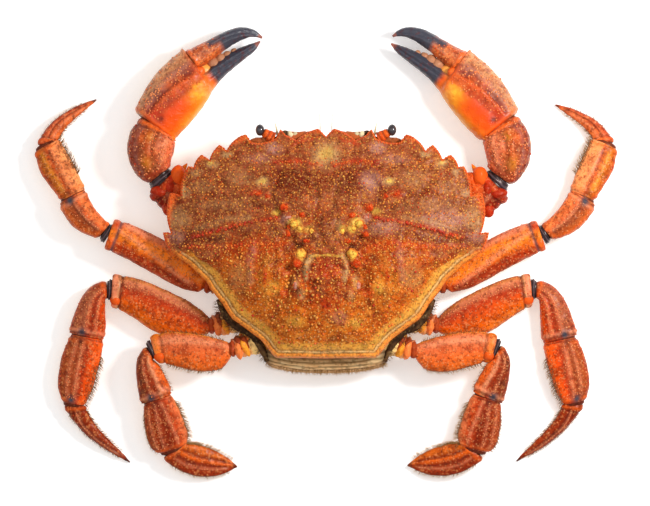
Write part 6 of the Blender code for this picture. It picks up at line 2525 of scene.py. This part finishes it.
@dataclass
class Tail:
    """The broad tail, which comes out behind in ridged plates and lies folded under the breast."""

    path: tuple[tuple[float, float, float, float], ...] = (
        (-45.5, 18.4, 24, 1.2), (-50, 18.6, 28, 1.5), (-53.2, 16.6, 28.5, 1.8), (-54.6, 12, 27.6, 2),
        (-53.2, 6.8, 26.6, 2), (-49, 3, 25.6, 2), (-43.5, 2.1, 25, 2.1), (-26, 2.1, 25, 2.1),
        (-10, 2.1, 23, 2.1), (4, 2.1, 18, 2.1), (13, 2.1, 11, 2.1), (18, 2.1, 5, 2.1),
    )
    rows: int = 170
    half_columns: int = 90
    stripe_pitch: float = 1.7
    plate_pitch: float = 9.5
    folded_from: int = 5
    sweep: float = 3.6
    sweep_power: float = 2.6
    # Where along the path the painted shadow of the shell's rear edge falls.
    dark_until: float = 5.0
    hair_count: int = 900
    hair_levels: Pair = (9, 17.5)

    def shell(self) -> Surface:
        """The tail as a flat tube along its path.

        Returns:
            The tail's surface.
        """
        knots = np.array(self.path)
        gaps = np.linalg.norm(np.diff(knots[:, :2], axis=0), axis=1)
        travel = np.concatenate([[0], np.cumsum(gaps)])
        at = np.linspace(0, travel[-1], self.rows)
        y, z, half_width, half_thick = smooth_between(np.column_stack([travel, knots]), at).T
        way = unit(np.column_stack([0 * y, np.gradient(y), np.gradient(z)]))
        outward = np.column_stack([0 * y, way[:, 2], -way[:, 1]])
        folded = fade(at, travel[self.folded_from] - 3.0, travel[self.folded_from])
        outward = unit(outward * (1 - folded[:, None]) + np.array((0, 0, -1)) * folded[:, None])
        angles = np.arange(2 * self.half_columns) * math.pi / self.half_columns
        cos, sin = np.cos(angles), np.sin(angles)
        across = np.sign(cos) * np.abs(cos) ** 0.75
        lift = np.sign(sin) * np.minimum(np.abs(sin) * 2.0, 1.0)
        side = np.array((1.0, 0, 0))
        relief, stripe = self._relief(at[:, None] + 0 * across, across[None] * half_width[:, None], folded)
        thick = half_thick[:, None] * lift + relief * (lift > 0.3) * (1 - folded[:, None])
        rings = (
            np.stack([0 * y, y, z], 1)[:, None]
            + side * (across * half_width[:, None])[..., None]
            + outward[:, None] * thick[..., None]
        )
        swept = np.abs(rings[..., 0] / half_width.max()) ** self.sweep_power * (1 - folded)[:, None]
        rings[..., 1] += self.sweep * swept
        rings[..., 2] = np.maximum(rings[..., 2], 0.0)
        made = closed_tube(rings)
        flat = rings.reshape(-1, 3)
        tone = 0.5 + 0.4 * COLOUR_NOISE.at(flat * (0.35, 1, 1), 2.6, 2)
        open_part = (1 - folded)[:, None] + 0 * across
        # The creases between the plates and a band where the tail comes out from under the shell's rear edge
        # are painted dark, as shade.
        bands = np.clip(stripe, 0, 1) + 0.45 * bell(at, self.dark_until, 2.0)[:, None]
        ends = fade(np.abs(rings[..., 0]), self.path[2][2] - 5.0, self.path[2][2] - 1.0)
        masks = {
            "tone": tone, "stripe": np.clip(0.85 * bands * open_part, 0, 0.85).ravel(),
            "rust": (0.5 * open_part * fade(at, 7.0, 11.0)[:, None]).ravel(),
            "dark": (0.7 * open_part * ends).ravel(),
        }
        made.masks = {name: np.append(mask, (0.5, 0.5)) for name, mask in masks.items()}
        return made

    def _relief(self, at: Array, across: Array, folded: Array) -> tuple[Array, Array]:
        """The terraces of the tail's plates.

        Args:
            at: How far along the path each point is.
            across: How far off the middle each point is.
            folded: How far each row belongs to the part under the breast.

        Returns:
            Height to add, and how much each place belongs to a crease.
        """
        wavy = at + 0.2 * np.sin(across / 6.0) + 0.12 * np.sin(across / 2.3 + at)
        close = (wavy / self.stripe_pitch) % 1.0
        far = (at / self.plate_pitch) % 1.0
        crease = bell(close, 0.5, 0.2) * (1 - folded[:, None])
        crease = crease + bell(far, 0.5, 0.06) * folded[:, None]
        return -0.55 * crease, crease

    def fringe(self) -> Surface:
        """The hairs along the tail's rear edge.

        Returns:
            All hairs.
        """
        rng = np.random.default_rng(41)
        knot = self.path[3]
        count = self.hair_count
        x = rng.uniform(-1, 1, count)
        swept = self.sweep * np.abs(x) ** self.sweep_power
        roots = np.column_stack([x * knot[2], knot[0] + swept - 0.6, rng.uniform(*self.hair_levels, count)])
        spread = 0.5 * x**3 + rng.normal(0, 0.3, count)
        ways = np.column_stack([spread, np.full(count, -1.0), rng.normal(0.1, 0.2, count)])
        bends = np.tile((0.0, 0.0, -0.3), (count, 1))
        lengths = rng.uniform(1.2, 3.0, count)
        return hairs(roots, ways, bends, lengths, HAIR_THICKNESS, rng.uniform(0.0, 0.4, count))

    def build(self) -> None:
        """Makes the tail and its fringe."""
        self.shell().build("abdomen_crust", TAIL_SHELL.material(), Slot.UNDERSIDE, "abdomen")
        self.fringe().build("abdomen_fringe", BRISTLES.material(), Slot.UNDERSIDE)


@dataclass
class Face:
    """The eyes on their stalks, the feelers between them and the two plates that close the mouth."""

    eye_middle: Triple = (30.6, 56, 26.4)
    eye_radii: Triple = (2.1, 2.7, 2.3)
    stalk_root: Triple = (24.6, 52.4, 25)
    plate_length: float = 23.0
    plate_width: float = 11.2
    plate_thickness: float = 3.0
    plate_middle: Triple = (6, 33.4, 7.9)
    plate_slope: float = 31.0
    stalk_columns: int = 20
    stalk_folds: float = 16
    feeler_rings: int = 26
    feeler_routes: tuple[tuple[tuple[Triple, Triple, Triple], float, float], ...] = (
        (((21.5, 49.5, 24.6), (22.6, 54.5, 25.6), (23.4, 59.2, 25.4)), 0.9, 0.16),
        (((15.6, 48.5, 24), (15, 52.5, 25.2), (17.2, 54.6, 25.4)), 1.1, 0.45),
        (((11.2, 48, 23.6), (12.6, 51.4, 24.6), (14.8, 53, 24.6)), 0.9, 0.35),
        (((3, 50, 23.4), (2.4, 58, 25), (3.2, 66, 24.2)), 0.3, 0.08),
    )
    soft_parts: tuple[tuple[Triple, Triple, dict[str, float]], ...] = (
        ((13.6, 52.4, 23.6), (9.5, 3, 2.8), {"rust": 0.85}),
        ((19, 53.6, 24.4), (3.2, 2.2, 2.2), {"dark": 0.5}),
        ((16.6, 54, 25.8), (1.4, 1.5, 1.3), {"pale": 0.9}),
        ((14.2, 54.2, 25.4), (1.2, 0.9, 0.9), {"pale": 0.7}),
        ((8.2, 53.2, 24.6), (4.6, 2, 2.2), {"rust": 0.8}), ((26.4, 51.6, 23.8), (5, 1.9, 2.2), {"rust": 0.5}),
        ((31.5, 51, 23.4), (3.4, 1.6, 2), {"rust": 0.6}),
    )

    def eye(self, side: Side) -> None:
        """Makes one eye and its stalk.

        Args:
            side: The crab's side.
        """
        middle, root = np.array(self.eye_middle), np.array(self.stalk_root)
        eye = ball(middle, self.eye_radii, 0.01, tone=0.3)
        # The cornea is painted lighter towards its top, as painted light from above.
        eye.masks["tone"] = fade(eye.points[:, 2], middle[2] - 2, middle[2] + 2.2)
        name = f"eye_{side.word}"
        on_side(eye, side).build(f"{name}_cornea", EYE_HORN.material(), Slot.EYE, name)
        towards = unit((middle - root)[None])[0]
        tip = middle - towards * (max(self.eye_radii) - 0.8)
        t = np.linspace(0, 1, 18)[:, None]
        path = root + (tip - root) * t
        radii = 2.9 - 1.0 * t[:, 0] + 0.1 * np.cos(t[:, 0] * self.stalk_folds)
        stalk = horn(path, radii, self.stalk_columns, tone=0.5, orange=0.9)
        share = np.append(np.repeat(t[:, 0], self.stalk_columns), (0, 1))
        # The narrow rings between the stalk's folds are painted dark, as shade.
        stalk.masks["dark"] = 0.5 * (np.cos(share * self.stalk_folds) < -0.3)
        finish = CLAW_PLANS["merus"].finish.material()
        on_side(stalk, side).build(f"eyestalk_{side.word}_skin", finish, Slot.LIMB, f"eyestalk_{side.word}")

    def feelers(self) -> Surface:
        """The long feelers, the short folded ones and the felt round them, under the front edge.

        Returns:
            All of them.
        """
        t = np.linspace(0, 1, self.feeler_rings)
        beaded = 1 + 0.12 * np.cos(np.arange(self.feeler_rings) * 2.2)
        found = []
        for side, (points, thick, thin) in itertools.product(Side, self.feeler_routes):
            radii = (thick + (thin - thick) * t) * beaded
            found.append(on_side(horn(arc(points, t), radii, 10, tone=0.8, pale=0.9), side))
        return Surface.joined(found)

    def tissue(self) -> Surface:
        """The dark soft parts under the front edge, with pale lumps of the folded feelers in them.

        Returns:
            All of them.
        """
        found = []
        for (middle, radii, masks), side in itertools.product(self.soft_parts, Side):
            lump = ball(np.array(middle), radii, 0.18, tone=0.6, **masks)
            lump.masks["tone"] = 0.4 + 0.5 * COLOUR_NOISE.at(lump.points, 1.6, 2)
            found.append(on_side(lump, side))
        return Surface.joined(found)

    def mouth_plate(self, side: Side) -> None:
        """Makes one of the two plates that close the mouth.

        Args:
            side: The crab's side.
        """
        middle = np.array(self.plate_middle)
        slope = math.radians(self.plate_slope)
        way = np.array((0.0, math.cos(slope), math.sin(slope))) * self.plate_length / 2
        half, thick = self.plate_width / 2, self.plate_thickness / 2
        sections = ((0.0, half * 0.8, half * 0.9, thick * 0.8, thick * 0.8), (0.5, half, half, thick, thick))
        sections += ((1.0, half * 0.85, half * 0.95, thick * 0.8, thick * 0.8),)
        marks = (Stripe((0.35, 0.3), 0.7, -0.3, "dark", 0.5), Ring(0.55, 0.5, -0.3, "dark", 0.5))
        plan = Plan(sections, UNDERSIDE_SHELL, marks=marks, lumpiness=0.08)
        name = f"maxilliped_{side.word}"
        segment = Segment(name, MiddleLine(middle - way, middle + way, 0.0, 0.0), plan, -1)
        surface = on_side(segment.shell(), side)
        surface.build(f"{name}_crust", UNDERSIDE_SHELL.material(), Slot.UNDERSIDE, name)

    def build(self) -> None:
        """Makes both eyes, both mouth plates, the feelers and the soft parts round them."""
        for side in Side:
            self.eye(side)
            self.mouth_plate(side)
        self.feelers().build("feelers", GILL_SKIN.material(), Slot.LIMB)
        self.tissue().build("face_tissue", GILL_SKIN.material(), Slot.LIMB)


@dataclass
class Flanks:
    """The dark hairy skin between the leg roots and the shell's rear corners."""

    paths: tuple[tuple[Triple, ...], ...] = (
        ((50, -22.4, 19), (45.6, -32.6, 19), (38, -37.6, 19.6)),
        ((43, -33.4, 20), (31, -37.8, 19.8), (27.4, -51.2, 18.6)),
    )
    radius: float = 2.0
    rings: int = 60
    hairs_each: int = 130

    def build(self) -> None:
        """Makes the skin and its hairs."""
        rng = np.random.default_rng(77)
        count = self.hairs_each
        t = np.linspace(0, 1, self.rings)
        skins, furs = [], []
        for side, route in itertools.product(Side, self.paths):
            path = arc(route, t)
            wave = RELIEF_NOISE.at(path * (side.value, 1, 1), 3.0, 2)
            radii = self.radius * np.sin(math.pi * np.clip(t, 0.05, 0.95)) ** 0.4 * (1 + 0.2 * wave)
            skin = horn(path, radii, 30)
            noise = COLOUR_NOISE.at(skin.points, 3.0, 2)
            skin.points = skin.points + 0.25 * noise[:, None]
            ribs = 0.5 + 0.5 * np.cos(skin.points @ np.array((1.2, -1.6, 2.6)))
            skin.masks = {"tone": 0.2 + 0.3 * noise + 0.35 * ribs, "dark": 0.5 * (1 - ribs)}
            skins.append(on_side(skin, side))
            pick = rng.integers(3, self.rings - 3, count)
            out = unit(np.column_stack([path[pick, 0], path[pick, 1] + 15.0, np.full(count, 4.0)]))
            roots = path[pick] + out * radii[pick, None] * 0.8 + rng.normal(0, 0.8, (count, 3)) * (1, 1, 0.4)
            ways = out + rng.normal(0, 0.35, (count, 3))
            bends = np.tile((0.0, 0.0, -0.25), (count, 1))
            lengths = rng.uniform(1.6, 3.0, count)
            furs.append(on_side(hairs(roots, ways, bends, lengths, 0.24, rng.uniform(0.3, 1.0, count)), side))
        Surface.joined(skins).build("flank_skin", GILL_SKIN.material(), Slot.MEMBRANE)
        Surface.joined(furs).build("flank_hairs", BRISTLES.material(), Slot.MEMBRANE)


# ---------------- studio


@dataclass
class Studio:
    """A pale floor, soft lamps and a camera straight above the crab."""

    camera_place: Triple = (-0.00046, -0.00093, 0.6)
    view_width: float = 0.30095
    floor_half: float = 1.5
    lamps: tuple[tuple[str, Triple, float, float], ...] = (
        ("key", (0.36, 0.16, 0.46), 0.14, 3.3), ("overhead", (0, 0.1, 0.85), 0.8, 1.6),
        ("fill", (-0.45, 0.1, 0.4), 0.5, 0.35),
    )
    sky: float = 0.45
    floor_glow: float = 0.3

    def build(self) -> None:
        """Makes the floor, the lamps, the sky and the camera."""
        self._floor()
        for name, place, size, power in self.lamps:
            lamp = bpy.data.lights.new(name, "AREA")
            lamp.shape, lamp.size, lamp.energy = "DISK", size, power
            self._put(name, lamp, place).rotation_euler = Vector(place).to_track_quat("Z", "Y").to_euler()
        world = bpy.data.worlds.new("Soft white room")
        world.use_nodes = True
        world.node_tree.nodes["Background"].inputs["Color"].default_value = linear("#ffffff")
        world.node_tree.nodes["Background"].inputs["Strength"].default_value = self.sky
        bpy.context.scene.world = world
        camera = bpy.data.cameras.new("camera")
        camera.type, camera.ortho_scale = "ORTHO", self.view_width
        bpy.context.scene.camera = self._put("camera", camera, self.camera_place)
        bpy.context.scene.view_settings.view_transform = "Standard"

    def _put(self, name: str, data: bpy.types.ID, place: Triple) -> bpy.types.Object:
        """Adds an object of the studio at its place."""
        made = bpy.data.objects.new(name, data)
        made.location = place
        bpy.context.scene.collection.objects.link(made)
        return made

    def _floor(self) -> None:
        """Makes the floor, a matt white sheet."""
        half = self.floor_half
        mesh = bpy.data.meshes.new("floor")
        corners = [(-half, -half, 0), (half, -half, 0), (half, half, 0), (-half, half, 0)]
        mesh.from_pydata(corners, [], [(0, 1, 2, 3)])
        paper = bpy.data.materials.new("White paper, matt")
        paper.use_nodes = True
        shader = paper.node_tree.nodes["Principled BSDF"]
        shader.inputs["Base Color"].default_value = linear("#f4f4f4")
        shader.inputs["Roughness"].default_value = 0.9
        shader.inputs["Emission Color"].default_value = linear("#ffffff")
        shader.inputs["Emission Strength"].default_value = self.floor_glow
        mesh.materials.append(paper)
        self._put("floor", mesh, (0, 0, -0.0001))


def main() -> None:
    """Builds the studio and the crab."""
    Studio().build()
    Carapace().build()
    Body().build()
    Tail().build()
    Face().build()
    Flanks().build()
    build_limbs()


if __name__ == "__main__":
    main()
